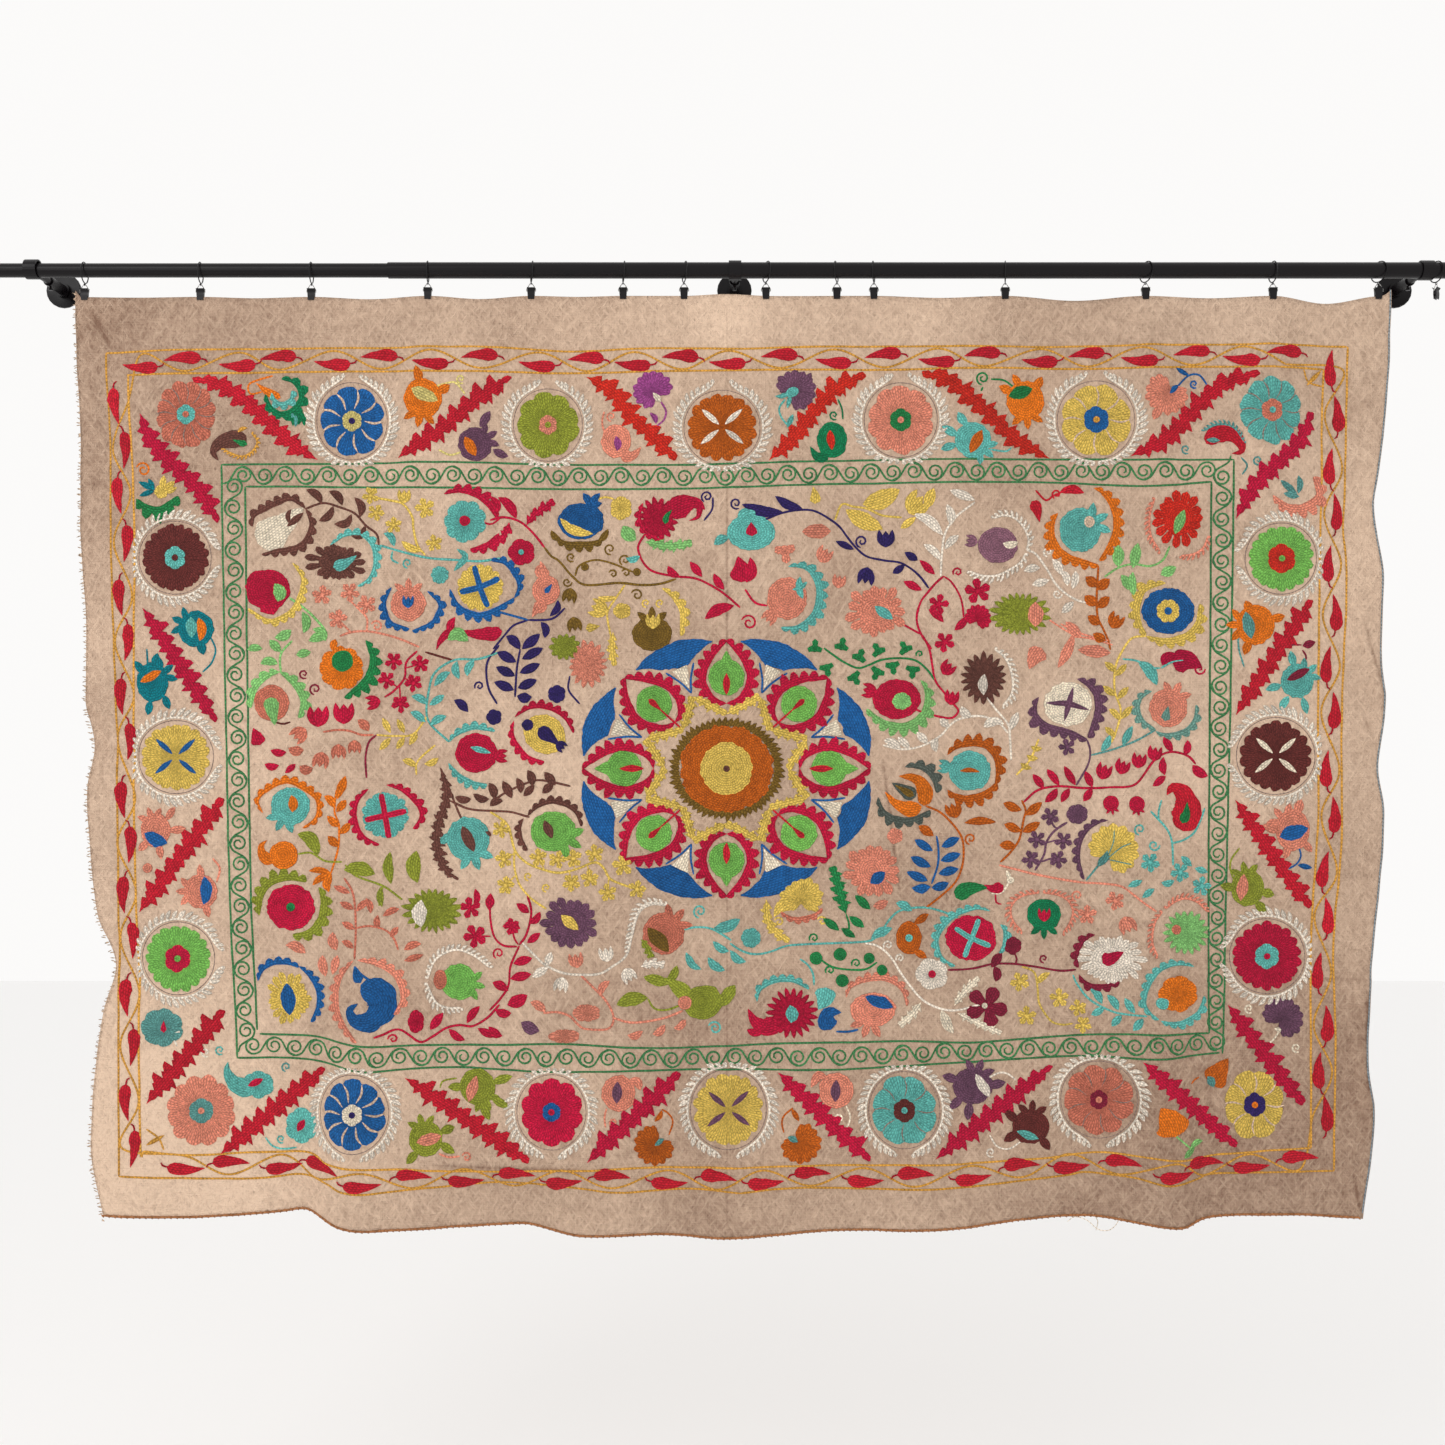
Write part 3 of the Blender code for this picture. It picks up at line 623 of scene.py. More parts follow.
def lay_stroke(path, left, right, yarn, layer, shift=None):
    """Yarn along a path, from left to right of it in photo pixels. shift slides each rim forwards."""
    along = heading(path)
    side = 1j * along
    left = left * uneven(len(path), 0.10)
    right = right * uneven(len(path), 0.10)
    reach = np.where(STROKE_ACROSS < 0, left[:, None], right[:, None]) * STROKE_ACROSS
    places = path[:, None] + side[:, None] * reach
    if shift is not None:
        places = places + along[:, None] * shift[:, None] * np.abs(STROKE_ACROSS) ** 2
    far = np.concatenate([[0], np.cumsum(np.abs(np.diff(path)))]) * PIXEL
    uv = np.stack([reach * PIXEL + 0.5 * STITCH_ROW, np.broadcast_to(far[:, None], reach.shape)], axis=-1)
    wide = np.maximum(left, right)[:, None]
    lift = base_lift(layer) + STROKE_ARCH * np.minimum(YARN_HEIGHT, 0.5 * wide * PIXEL)
    keep(places, lift, uv, yarn)


def lay_round(centre, reach, yarn, layer, rays=False):
    """Yarn that fills an outline about a centre. reach is the outline's distance in each direction."""
    count = len(reach)
    reach = reach * uneven(count, 0.035)
    reach = np.append(reach, reach[0])
    angle = np.arange(count + 1) * 360 / count
    places = centre + ROUND_SHARES[:, None] * (reach * toward(angle))[None, :]
    mean = np.mean(np.abs(reach)) * PIXEL
    around = np.broadcast_to(np.radians(angle) * mean, places.shape)
    inward = np.broadcast_to(((1 - ROUND_SHARES) * mean)[:, None], places.shape)
    uv = np.stack([around * 0.8, inward] if rays else [inward, around], axis=-1)
    lift = base_lift(layer) + ROUND_ARCH[:, None] * YARN_HEIGHT
    keep(places, np.broadcast_to(lift, places.shape), uv, yarn)


def finish_piece(name):
    """Make one mesh piece of everything sewn since the last call."""
    start = 0
    points, faces, layouts, colours = [], [], [], []
    for some_points, some_faces, some_uv, colour in sewn:
        points.append(some_points)
        faces.append(some_faces + start)
        layouts.append(some_uv[some_faces.ravel()])
        colours.append(np.broadcast_to(colour, (len(some_points), 4)))
        start += len(some_points)
    mesh = bpy.data.meshes.new(name)
    mesh.from_pydata(np.concatenate(points).tolist(), [], np.concatenate(faces).tolist())
    layout = mesh.uv_layers.new(name="rows")
    layout.data.foreach_set("uv", np.concatenate(layouts).ravel())
    paint = mesh.color_attributes.new("yarn", "FLOAT_COLOR", "POINT")
    paint.data.foreach_set("color", np.concatenate(colours).ravel())
    mesh.shade_smooth()
    piece = bpy.data.objects.new(name, mesh)
    bpy.context.scene.collection.objects.link(piece)
    piece.data.materials.append(yarn_material)
    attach(piece, "root")
    print(name, "shapes:", len(sewn), "faces:", len(mesh.polygons))
    sewn.clear()
    return piece


# %% Strokes
LEAF_FULLNESS = 1.16


def sew_thread(yarn, width, places, layer=0):
    """A line of chain stitch."""
    path = curve_through(places)
    half = np.full(len(path), width / 2)
    half[[0, -1]] *= 0.6
    lay_stroke(path, half, half, yarn, layer)


def sew_leaf(yarn, width, places, layer=1):
    """A leaf or petal, pointed at both ends."""
    path = curve_through(places, step=2.4)
    share = np.linspace(0, 1, len(path))
    half = np.maximum(0.15, LEAF_FULLNESS * width / 2 * np.sin(np.pi * share) ** 0.76)
    lay_stroke(path, half, half, yarn, layer)


def sew_drop(yarn, width, places, layer=1):
    """A shape with a round end where its path starts and a point where it ends."""
    path = curve_through(places, step=2.4)
    share = np.linspace(0, 1, len(path))
    round_end = np.sqrt(np.clip(1 - (1 - share / 0.3) ** 2, 0.0, 1.0))
    taper = np.clip((1 - share) / 0.7, 0.0, 1.0) ** 0.78
    half = np.maximum(0.15, width / 2 * np.where(share < 0.3, round_end, taper))
    lay_stroke(path, half, half, yarn, layer)


# Four steps to each blunt tooth, and how much of it stands at each step.
TOOTH_PLACES = np.array([0.0, 0.24, 0.55, 0.86])
TOOTH_HEIGHTS = np.array([0.0, 0.78, 1.0, 0.52])
# The long red leaves have a small jag before each large one.
CLUSTER_PLACES = np.array([0.0, 0.16, 0.3, 0.46, 0.72, 0.9])
CLUSTER_HEIGHTS = np.array([0.0, 0.55, 0.36, 0.85, 1.0, 0.35])


def toothed_path(places, pitch, tooth_places=TOOTH_PLACES, tooth_heights=TOOTH_HEIGHTS):
    """A path with a few steps to each tooth, and how much of its tooth stands at each step."""
    path = curve_through(places, step=1.0)
    teeth = max(2, int(round((len(path) - 1) / pitch)))
    at = (np.arange(teeth)[:, None] + tooth_places).ravel() / teeth * (len(path) - 1)
    at = np.append(at, len(path) - 1)
    steps = np.arange(len(path))
    stepped = np.interp(at, steps, path.real) + 1j * np.interp(at, steps, path.imag)
    play = np.repeat(chance.uniform(0.72, 1.15, teeth), len(tooth_heights))
    return stepped, np.append(np.tile(tooth_heights, teeth) * play, 0.0)


def bulges_left(path):
    """True if the outside of a bent path lies on the left of its travel."""
    run = path[-1] - path[0]
    middle_way = path[len(path) // 2] - (path[0] + path[-1]) / 2
    return (middle_way * np.conj(run)).imag < 0


def sew_crescent(yarn, width, places, layer=1):
    """A curved band with blunt teeth along its outer side."""
    path, tooth = toothed_path(places, min(9.5, 3.4 + 0.72 * width))
    share = np.linspace(0, 1, len(path))
    body = np.maximum(0.2, width / 2 * np.sin(np.pi * share) ** 0.5)
    outer = body * (0.55 + 1.45 * tooth)
    inner = body * 0.78
    left, right = (outer, inner) if bulges_left(path) else (inner, outer)
    lay_stroke(path, left, right, yarn, layer, shift=tooth * 1.2)


def sew_spine(yarn, width, places, layer=1):
    """A long leaf with teeth on both sides."""
    path, tooth = toothed_path(places, 3.0 + 0.6 * width, CLUSTER_PLACES, CLUSTER_HEIGHTS)
    share = np.linspace(0, 1, len(path))
    body = np.maximum(0.2, width / 2 * np.clip(np.sin(np.pi * share) * 2.0, 0, 1) ** 0.8)
    left = body * (0.38 + 0.92 * tooth)
    right = body * (0.38 + 0.92 * np.roll(tooth, 2))
    lay_stroke(path, left, right, yarn, layer, shift=tooth * 2.6)


def sew_comb(yarn, length, places, layer=1):
    """A stem with a row of slanting feathers on its outer side."""
    path = curve_through(places, step=0.34 * length + 1.9)
    outward = -1j if bulges_left(path) else 1j
    share = np.linspace(0, 1, len(path))
    for here, ahead, s in zip(path, heading(path), share):
        reach = length * (0.40 + 0.60 * math.sin(math.pi * s) ** 0.6) * chance.uniform(0.85, 1.12)
        slant = ahead * (outward * 0.72 + chance.uniform(0.55, 0.75))
        width = chance.uniform(0.30, 0.36) * length
        tip = here + slant * reach
        sew_leaf(yarn, width, [here, here + slant * reach * 0.5 + outward * ahead * 0.6, tip], layer)
    sew_thread(yarn, 2.2, places, layer)


# %% Round shapes
def squashed(angle, across, down, tilt):
    """Distance to the rim of a tilted ellipse in each direction."""
    turned = np.radians(angle - tilt)
    return across * down / np.hypot(down * np.cos(turned), across * np.sin(turned))


def sew_disc(yarn, across, down, tilt, centre, layer=1, rays=False):
    """A filled ellipse."""
    count = int(max(16, 4 * round(0.55 * (across + down))))
    angle = np.arange(count) * 360 / count
    lay_round(centre, squashed(angle, across, down, tilt), yarn, layer, rays)


def sew_lobed(yarn, across, down, petals, centre, layer=1):
    """A flower with rounded lobes round its rim and rows of stitches like rays."""
    angle = np.arange(petals * 6) * 60 / petals
    deep = min(0.1, 1.5 / petals)
    dip = 1 - deep * np.tile([1.0, 0.25, 0.0, -0.1, 0.0, 0.25], petals)
    lay_round(centre, squashed(angle, across, down, 0) * dip, yarn, layer, rays=True)


def sew_jagged(yarn, across, down, tilt, centre, layer=1):
    """A filled shape with a toothed rim."""
    teeth = int(max(7, round(0.42 * (across + down))))
    angle = np.arange(teeth * 4) * 90 / teeth
    depth = min(0.2, 9 / (across + down))
    play = np.repeat(chance.uniform(0.7, 1.2, teeth), 4)
    jag = 1 + depth * (np.tile([-1.0, 0.2, 0.75, 0.1], teeth) * play)
    lay_round(centre, squashed(angle, across, down, tilt) * jag, yarn, layer)


def sew_fruit(yarn, across, down, crown, centre, layer=1):
    """A pomegranate: a round body and a crown of three points in one direction."""
    sew_disc(yarn, across, down, 0, centre, layer)
    size = (across + down) / 2
    for spread, reach in ((-34, 1.42), (0, 1.5), (34, 1.42)):
        tip = centre + toward(crown + spread) * size * reach
        sew_leaf(yarn, size * 0.34, [centre + toward(crown + spread * 0.4) * size * 0.7, tip], layer)


def sew_star(yarn, radius, centre, layer=1):
    """A small flower of five round petals."""
    first = chance.uniform(0, 72)
    for petal in range(5):
        out = toward(first + petal * 72 + chance.uniform(-6, 6))
        sew_drop(yarn, radius * 0.76, [centre + out * radius * 1.12, centre - out * radius * 0.1], layer)


def sew_ivy(yarn, radius, turn, centre, layer=1):
    """A leaf of three lobes that points more or less in one direction."""
    turn = turn + chance.uniform(-35, 35)
    base = centre - toward(turn) * radius * 0.5
    sew_disc(yarn, radius * 0.5, radius * 0.5, 0, base + toward(turn) * radius * 0.35, layer)
    for spread, reach in ((-70, 1.0), (0, 1.5), (70, 1.0)):
        out = toward(turn + spread) * radius * reach
        sew_drop(yarn, radius * 0.85, [base + out, base + out * 0.5, base], layer)


def sew_carnation(yarn, radius, turn, centre, layer=1):
    """A fan of petals with a toothed rim, open on the side where its cup and stem are."""
    angle = np.arange(56) * 360 / 56
    from_cup = (angle - turn + 180) % 360 - 180
    notch = 1 - 0.72 * np.exp(-((from_cup / 34) ** 2))
    teeth = 1 + 0.07 * np.tile([-1.0, 0.2, 1.0, 0.4], 14)
    lay_round(centre, radius * notch * teeth, yarn, layer, rays=True)


def sew_rays(yarn, across, down, petals, centre, layer=1):
    """An aster: many narrow petals round a filled middle."""
    sew_disc(yarn, across * 0.62, down * 0.62, 0, centre, layer)
    for angle in np.arange(petals) * 360 / petals:
        tip = toward(angle) * squashed(angle, across, down, 0) * chance.uniform(0.88, 1.12)
        bend = 1j * tip * chance.uniform(-0.08, 0.08)
        width = 2.0 * math.pi * 0.8 * (across + down) / 2 / petals
        sew_drop(yarn, width, [centre + tip + bend, centre + tip * 0.7, centre + tip * 0.3], layer)


def sew_tulip(yarn, length, turn, base, layer=1):
    """A small cup with three points that opens in one direction."""
    out = toward(turn) * length * 1.2
    across = 1j * out
    sew_drop(yarn, length * 0.95, [base + out * 0.05, base + out * 0.45, base + out * 0.98], layer)
    for side in (-1, 1):
        belly = base + out * 0.42 + across * side * 0.30
        sew_leaf(yarn, length * 0.40, [base, belly, base + out * 1.05 + across * side * 0.40], layer)


def sew_curl(yarn, radius, start, turns, centre, layer=0):
    """A spiral that winds in clockwise from the given direction, 1.3 turns if no number is given."""
    turns = turns or 1.3
    share = np.linspace(0, 1, max(8, int(turns * 12)))
    places = centre + radius * (1 - 0.78 * share) * toward(start + 360 * turns * share)
    sew_thread(yarn, 2.1, places, layer)


print("Sewing shapes ready")

# %% [markdown]
# Motifs are written as plain text tables. A yarn's name alone on a line holds for the rows below it. A row
# gives a shape, its sizes, then places in photo pixels. A plus after the shape lays it one layer higher,
# such as an eye on a fruit. Shapes that follow a path take their places in order, and a slash starts the
# next path. Round shapes are sewn once at each place. An indented line goes on with the row above it.


# %% Read motif tables
def read_place(text):
    """A complex place from text such as 120,340."""
    across_px, down_px = text.split(",")
    return complex(float(across_px), float(down_px))


PATH_SHAPES = {
    # shape: (function, layer)
    "thread": (sew_thread, 0),
    "leaf": (sew_leaf, 1),
    "drop": (sew_drop, 1),
    "crescent": (sew_crescent, 1),
    "spine": (sew_spine, 1),
    "comb": (sew_comb, 1),
}
ROUND_SHAPES = {
    # shape: (function, how many sizes it takes)
    "disc": (sew_disc, 3),
    "jagged": (sew_jagged, 3),
    "lobed": (sew_lobed, 3),
    "fruit": (sew_fruit, 3),
    "rays": (sew_rays, 3),
    "star": (sew_star, 1),
    "ivy": (sew_ivy, 2),
    "carnation": (sew_carnation, 2),
    "tulip": (sew_tulip, 2),
    "curl": (sew_curl, 3),
}


def sew_row(yarn, row):
    """Sew one row of a motif table in its yarn."""
    shape, sizes, *words = row.split()
    above = shape.count("+")
    shape = shape.rstrip("+")
    sizes = [float(size) for size in sizes.split(",")]
    if shape in PATH_SHAPES:
        sew, layer = PATH_SHAPES[shape]
        for path in " ".join(words).split("/"):
            places = [read_place(word) for word in path.split()]
            sew(yarn, sizes[0], places, layer + above)
        return
    sew, wanted = ROUND_SHAPES[shape]
    sizes += [0.0] * (wanted - len(sizes))
    if shape in ("lobed", "rays"):
        sizes[2] = int(sizes[2])
    for word in words:
        sew(yarn, *sizes, read_place(word), (0 if shape == "curl" else 1) + above)


def sew_table(table):
    """Sew every row of a motif table."""
    yarn = None
    for row in table.strip().replace("\n    ", " ").splitlines():
        if row in YARNS:
            yarn = row
        else:
            sew_row(yarn, row)


print("Shapes a table can name:", len(PATH_SHAPES) + len(ROUND_SHAPES))

# %% [markdown]
# The outer border is a narrow band between two gold lines. A wavy gold vine runs through it, and a red
# chili lies in each of its hollows. All the chilies point the way the vine runs, anticlockwise.

# %% Chili border
OUTER_LINES = """
gold
thread 2.3 106,353 190,350 275,349 380,348 480,346.5 573,350 640,348.5 740,349 835,346.5 900,346 1020,346
    1132,345 1240,345 1348,346
thread 2.3 106,353 109.5,440 111,560 114,640 116,700 118.5,860 119.5,1000 121,1175
thread 2.3 1349,346 1347,433 1345,525 1347,586 1343,678 1341,740 1341,840 1333,939 1335,1038 1334,1171
thread 2.3 121,1175 237,1179.5 300,1175 328,1181.5 347,1190 385,1191.5 487,1181 530,1182 584,1187.5
    617,1191 682,1188 740,1194
thread 2.3 740,1194 807,1187.5 915,1188.5 980,1184 1060,1175.5 1086,1171 1132,1176 1166,1183 1196,1179
    1224,1174 1334,1171
"""
INNER_LINES = """
gold
thread 2.3 127,375 240,373 360,371.5 480,371 573,372 700,371 800,370 900,369 1000,367.5 1100,368 1210,367
    1325,369
thread 2.3 128,375 133,470 135,560 134,640 134,807 136.5,900 139,986 142,1143 145,1150
thread 2.3 1324.5,369 1321,494 1319,617 1318,739 1318,823 1311,939 1311,1040 1311,1148
thread 2.3 145,1150 195,1155 300,1152 328,1162 364,1167.5 420,1169 500,1169 595,1168 660,1166 740,1169
thread 2.3 740,1169 828,1165 937,1164 980,1161 1040,1158 1097,1151 1143,1155 1189,1159 1224,1155 1270,1151
    1311,1148
thread 2.2 148,1128 160,1137 165,1149
leaf 4 148,1144 166,1134
thread 2.2 1303,370 1308,382 1323,386
leaf 4 1322,370 1306,386
"""
# The band's middle line on each side, in the order that the chilies point.
BAND_TOP = (
    (1336, 357), (1230, 356), (1132, 356.5), (900, 357.5), (740, 360), (573, 361), (480, 359), (275, 361),
    (117, 364),
)
BAND_LEFT = ((117, 364), (121, 440), (123, 560), (125, 700), (127, 860), (130, 986), (132, 1162))
BAND_BOTTOM = (
    (132, 1162), (237, 1166.5), (300, 1164), (347, 1178), (385, 1180), (487, 1175), (584, 1177.5),
    (650, 1177.5), (740, 1181.5), (807, 1176.5), (915, 1176.5), (980, 1172.5), (1086, 1161.5),
    (1166, 1170), (1224, 1165), (1322, 1160),
)
BAND_RIGHT = (
    (1322, 1160), (1323, 1038), (1322, 939), (1329.5, 840), (1330, 740), (1332, 600), (1333, 525),
    (1336, 357),
)
# Where each side's chilies lie: across_px along the top and bottom, down_px along the left and right.
CHILIES_TOP = (
    1284, 1242, 1193, 1141, 1089, 1042, 984, 938, 885, 835, 781, 729, 682, 634, 587, 538, 481, 432, 381,
    334, 280, 239, 185, 142,
)
CHILIES_LEFT = (405, 449, 494, 542, 596, 641, 695, 740, 798, 843, 893, 939, 996, 1045, 1100, 1146)
CHILIES_BOTTOM = (
    185, 229, 282, 320, 362, 413, 465, 516, 563, 611, 668, 717, 764, 811, 864, 914, 971, 1020, 1069, 1120,
    1173, 1205, 1250, 1299,
)
CHILIES_RIGHT = (1115, 1072, 1025, 972, 917, 871, 816, 770, 712, 666, 614, 565, 513, 468, 415, 369)
CHILI_OFF_LINE = 3.2
VINE_OFF_LINE = 9.0


def sew_chili(centre, ahead, bend):
    """One chili with its hooked stem. bend is the side its back arches to."""
    back = 1j * ahead * bend
    shoulder = centre - ahead * 17
    belly = centre - ahead * 6 + back * 1.5
    tip = centre + ahead * 20 - back * 1.5
    sew_drop("chili", 13.0, [shoulder, belly, centre + ahead * 8 + back, tip])
    neck = shoulder - ahead * 3.5 - back * 0.6
    sew_thread("dark_red", 1.8, [shoulder + ahead * 2, neck, neck - ahead * 2.6 - back * 3.2], 1)


def sew_chili_side(band, positions, upright, first_bend):
    """A side of the border: its chilies, and the vine that swings to the other side of each one."""
    line = curve_through([complex(*place) for place in band], step=1.0)
    along = heading(line)
    key = line.imag if upright else line.real
    vine = []
    for number, position in enumerate(positions):
        k = int(np.argmin(np.abs(key - position)))
        bend = first_bend * (-1) ** number
        off = 1j * along[k] * bend
        sew_chili(line[k] + off * CHILI_OFF_LINE, along[k] * toward(chance.uniform(-4, 4)), bend)
        vine.append(line[k] - off * VINE_OFF_LINE)
    return vine


sew_table(OUTER_LINES)
sew_table(INNER_LINES)
vine_places = sew_chili_side(BAND_TOP, CHILIES_TOP, False, 1)
vine_places += sew_chili_side(BAND_LEFT, CHILIES_LEFT, True, 1)
vine_places += sew_chili_side(BAND_BOTTOM, CHILIES_BOTTOM, False, 1)
vine_places += sew_chili_side(BAND_RIGHT, CHILIES_RIGHT, True, 1)
sew_thread("gold", 2.3, vine_places + vine_places[:1])
finish_piece("chili_border")

# %% [markdown]
# Inside the border runs a second, narrower frame: two green lines with a running scroll between them. Its
# spirals turn up and down by turns.

# %% Green scroll
SCROLL_LINES = """
scroll
thread 2.2 222,465 330,464 440,462 560,464 700,465 800,462 900,459 1020,459 1233,460
thread 2.2 222,465 225,600 228,740 231,900 235,1000 237,1058
thread 2.2 1233,460 1231,600 1229,740 1226,900 1225,980 1223,1054
thread 2.2 237,1058 290,1058 330,1063 371,1070 460,1067 560,1071 680,1069 800,1070 900,1066 1002,1059
    1082,1055 1145,1057 1220,1053
thread 2.2 247,487 380,487 500,488 620,489 730,488 830,484 930,482 1040,482 1140,486 1211,482
thread 2.2 246,487 248,600 250,740 252,905 257,1030 / 1211,482 1210,600 1209,740 1208,905 1209,1033
thread 2.2 259.6,1034 310,1036 371,1045 500,1044 565,1043 640,1047 730,1046 800,1043 900,1041 970,1042
    1050,1036 1113,1033 1209,1033
"""
SCROLL_MIDDLE = (
    (234, 476), (440, 475), (560, 476), (730, 477), (900, 471), (1040, 471), (1222, 471), (1221, 600),
    (1219, 740), (1217, 905), (1216, 1043), (1113, 1045), (1002, 1049), (900, 1054), (800, 1057),
    (640, 1058), (500, 1056), (371, 1057), (300, 1047), (246, 1045), (241, 900), (239, 740), (236, 600),
    (234, 476),
)
SPIRAL_PITCH = 20.8
SPIRAL_RADIUS = 8.4


def sew_scroll(band):
    """A running scroll: each spiral grows from the back of the last, and they coil up and down by turns."""
    corners = [complex(*place) for place in band]
    line = []
    for start, end in zip(corners, corners[1:]):
        line.append(np.linspace(start, end, int(abs(end - start)), endpoint=False))
    line = np.concatenate(line)
    count = int(len(line) / SPIRAL_PITCH)
    pitch = len(line) / count
    along = heading(line)
    share = np.linspace(0, 1, 17)
    for number in range(count):
        k = int((number + 0.5) * pitch)
        side = 1 if number % 2 else -1
        ahead = along[k]
        out = 1j * ahead * side
        centre = line[k] + out * 0.4
        last = centre - ahead * pitch
        slant = SPIRAL_RADIUS * 0.75 * (ahead - out)
        lead = [last - out * SPIRAL_RADIUS, last + slant, (last + centre) / 2, centre - slant]
        coil = centre + SPIRAL_RADIUS * (1 - 0.7 * share) * out * np.exp(-1j * side * share * 2.9 * math.pi)
        sew_thread("scroll", 2.1, lead + list(coil))


sew_table(SCROLL_LINES)
sew_scroll(SCROLL_MIDDLE)
finish_piece("green_scroll")

# %% [markdown]
# Between the two frames stand twenty large rosettes. Those along the sides wear a wreath of white feathers
# that opens at one side. Between them lie long red leaves with toothed edges, each on a diagonal.

# %% Rosettes
ROSETTES = (
    # across_px, down_px, half_across, half_down, yarn, petals, ring_yarn, ring_px, dot_yarn, wreath_opens
    (187, 415, 29.5, 34, "dull_salmon", 12, "turquoise", 9.5, "dull_salmon", None),
    (352, 421, 31.5, 35, "blue", 9, "pale_yellow", 10, "navy", -90),
    (547.5, 424, 31, 33, "olive", 9, "salmon", 9.5, "olive", -90),
    (901, 419.5, 33, 34, "salmon", 10, "green", 11, "salmon", -90),
    (1096.5, 419.5, 35, 36, "yellow", 8, "blue", 13, "gold", -90),
    (1269.5, 411.5, 31, 34, "turquoise", 10, "dull_salmon", 11, "turquoise", None),
    (1280, 559, 33, 32, "lime", 18, "scarlet", 14.5, "lime", 180),
    (1267.6, 956.5, 34, 34, "crimson", 18, "turquoise", 12.5, "crimson", 180),
    (1255, 1105, 29, 35, "yellow", 8, "navy", 11.5, "orange", None),
    (1097.6, 1098.4, 34, 35, "dull_salmon", 9, "maroon", 9.5, "salmon", 90),
    (904, 1109.6, 32, 35, "turquoise", 8, "red_brown", 11.5, "turquoise", 90),
    (552, 1111, 31, 34, "crimson", 10, "blue", 9.5, "crimson", 90),
    (355, 1112, 31, 36, "blue", 10, "cream", 10.5, "navy", 90),
    (201.6, 1110.5, 33, 35, "salmon", 12, "grey_teal", 12.5, "salmon", None),
    (179, 958, 33, 33, "lime", 17, "crimson", 13, "lime", 0),
    (176, 558, 33, 33, "red_brown", 20, "turquoise", 11, "red_brown", 0),
)
# Four rosettes have a cross of four narrow petals in place of the ring.
CROSSED_ROSETTES = (
    # across_px, down_px, half_across, half_down, yarn, petals, cross_yarn, wreath_opens
    (722, 428, 34.5, 34, "rust", 16, "white", -90),
    (1275.5, 756, 36, 35, "red_brown", 18, "cream", 180),
    (728.5, 1109.6, 34.5, 37, "yellow", 16, "mauve", 90),
    (176.5, 757, 35, 33, "yellow", 18, "blue", 0),
)
# The gaps between petals show the cloth on two yarns, and are thin dark seams on two others.
SEAMS = {
    # yarn: (seam_yarn, width_px)
    "blue": ("beige", 2.4),
    "yellow": ("beige", 1.9),
    "turquoise": ("drawn_line", 1.3),
    "dull_salmon": ("drawn_line", 1.2),
}
WREATH_GAP = 6.5
WREATH_FEATHER = 12.5


def sew_wreath(centre, across, down, opens):
    """Two arms of white feathers round a rosette, which meet opposite the side they open to."""
    turn = np.arange(0, 361, 12)
    ring = centre + squashed(turn, across + 3.5, down + 3.5, 0) * toward(turn)
    sew_thread("drawn_line", 0.9, ring)
    for side in (-1, 1):
        angle = opens + side * np.linspace(178, 24, 9)
        arm = list(centre + squashed(angle, across + WREATH_GAP, down + WREATH_GAP, 0) * toward(angle))
        size = (across + down) / 2
        arm.append(centre + toward(opens + side * 12) * (size + 10))
        sew_comb("white", WREATH_FEATHER, arm)


def sew_rosette(centre, across, down, yarn, petals):
    """The lobed body of a rosette and the seams between its petals."""
    sew_lobed(yarn, across, down, petals, centre)
    if yarn not in SEAMS:
        return
    seam_yarn, width = SEAMS[yarn]
    reach = (across + down) / 2
    for petal in range(petals):
        out = toward(petal * 360 / petals) * reach
        seam = [centre + out * 0.36, centre + out * toward(6) * 0.68, centre + out * 0.95]
        sew_leaf(seam_yarn, width, seam, 2)


for x_px, y_px, across, down, yarn, petals, ring_yarn, ring, dot_yarn, opens in ROSETTES:
    centre = complex(x_px, y_px)
    sew_rosette(centre, across, down, yarn, petals)
    sew_lobed(ring_yarn, ring, ring * 1.06, 6, centre, 2)
    sew_disc(dot_yarn, 3.4, 3.4, 0, centre, 3)
    if opens is not None:
        sew_wreath(centre, across, down, opens)
for x_px, y_px, across, down, yarn, petals, cross_yarn, opens in CROSSED_ROSETTES:
    centre = complex(x_px, y_px)
    sew_lobed(yarn, across, down, petals, centre)
    for turn in (38, 142, 222, 318):
        sew_leaf(cross_yarn, 5.6, [centre + toward(turn) * 4, centre + toward(turn) * 27], 2)
    sew_wreath(centre, across, down, opens)
finish_piece("rosettes")

# %% Long red leaves
RED_LEAVES = """
chili
spine 20 318,460 293,444 268,421 245,400 218,384 193,379 / 398,458 430,437 452,421 476,399 511,376
scarlet
spine 20 586,376 612,391 631,416 654,437 676,460 / 769,461 793,439 815,411 837,388 866,374
spine 20 1050,458 1017,439 993,417 969,396 947,379 922,372
chili
spine 20 1131,456 1166,439 1190,415 1210,394 1228,382 1258,374
crimson
spine 21 141,414 147,431 159,450 180,471 201,492 219,523
spine 20 1235,519 1253,487 1275,465 1299,441 1313,412 / 143,608 218,722
chili
spine 21 140,912 225,798 / 148,1103 225,1010
spine 20 1235,715 1312,600 / 1235,800 1310,908
crimson
spine 20 1228,1005 1303,1105
chili
spine 20 220,1155 325,1068 / 405,1078 530,1160
crimson
spine 20 588,1160 680,1072 / 778,1073 870,1160 / 935,1158 1052,1065 / 1140,1060 1237,1147
"""
sew_table(RED_LEAVES)
finish_piece("red_leaves")

# %% [markdown]
# Small fruit, carnations and paisleys fill the corners between the red leaves and the rosettes. No two are
# the same on the real cloth, so each one is a few rows of its own.

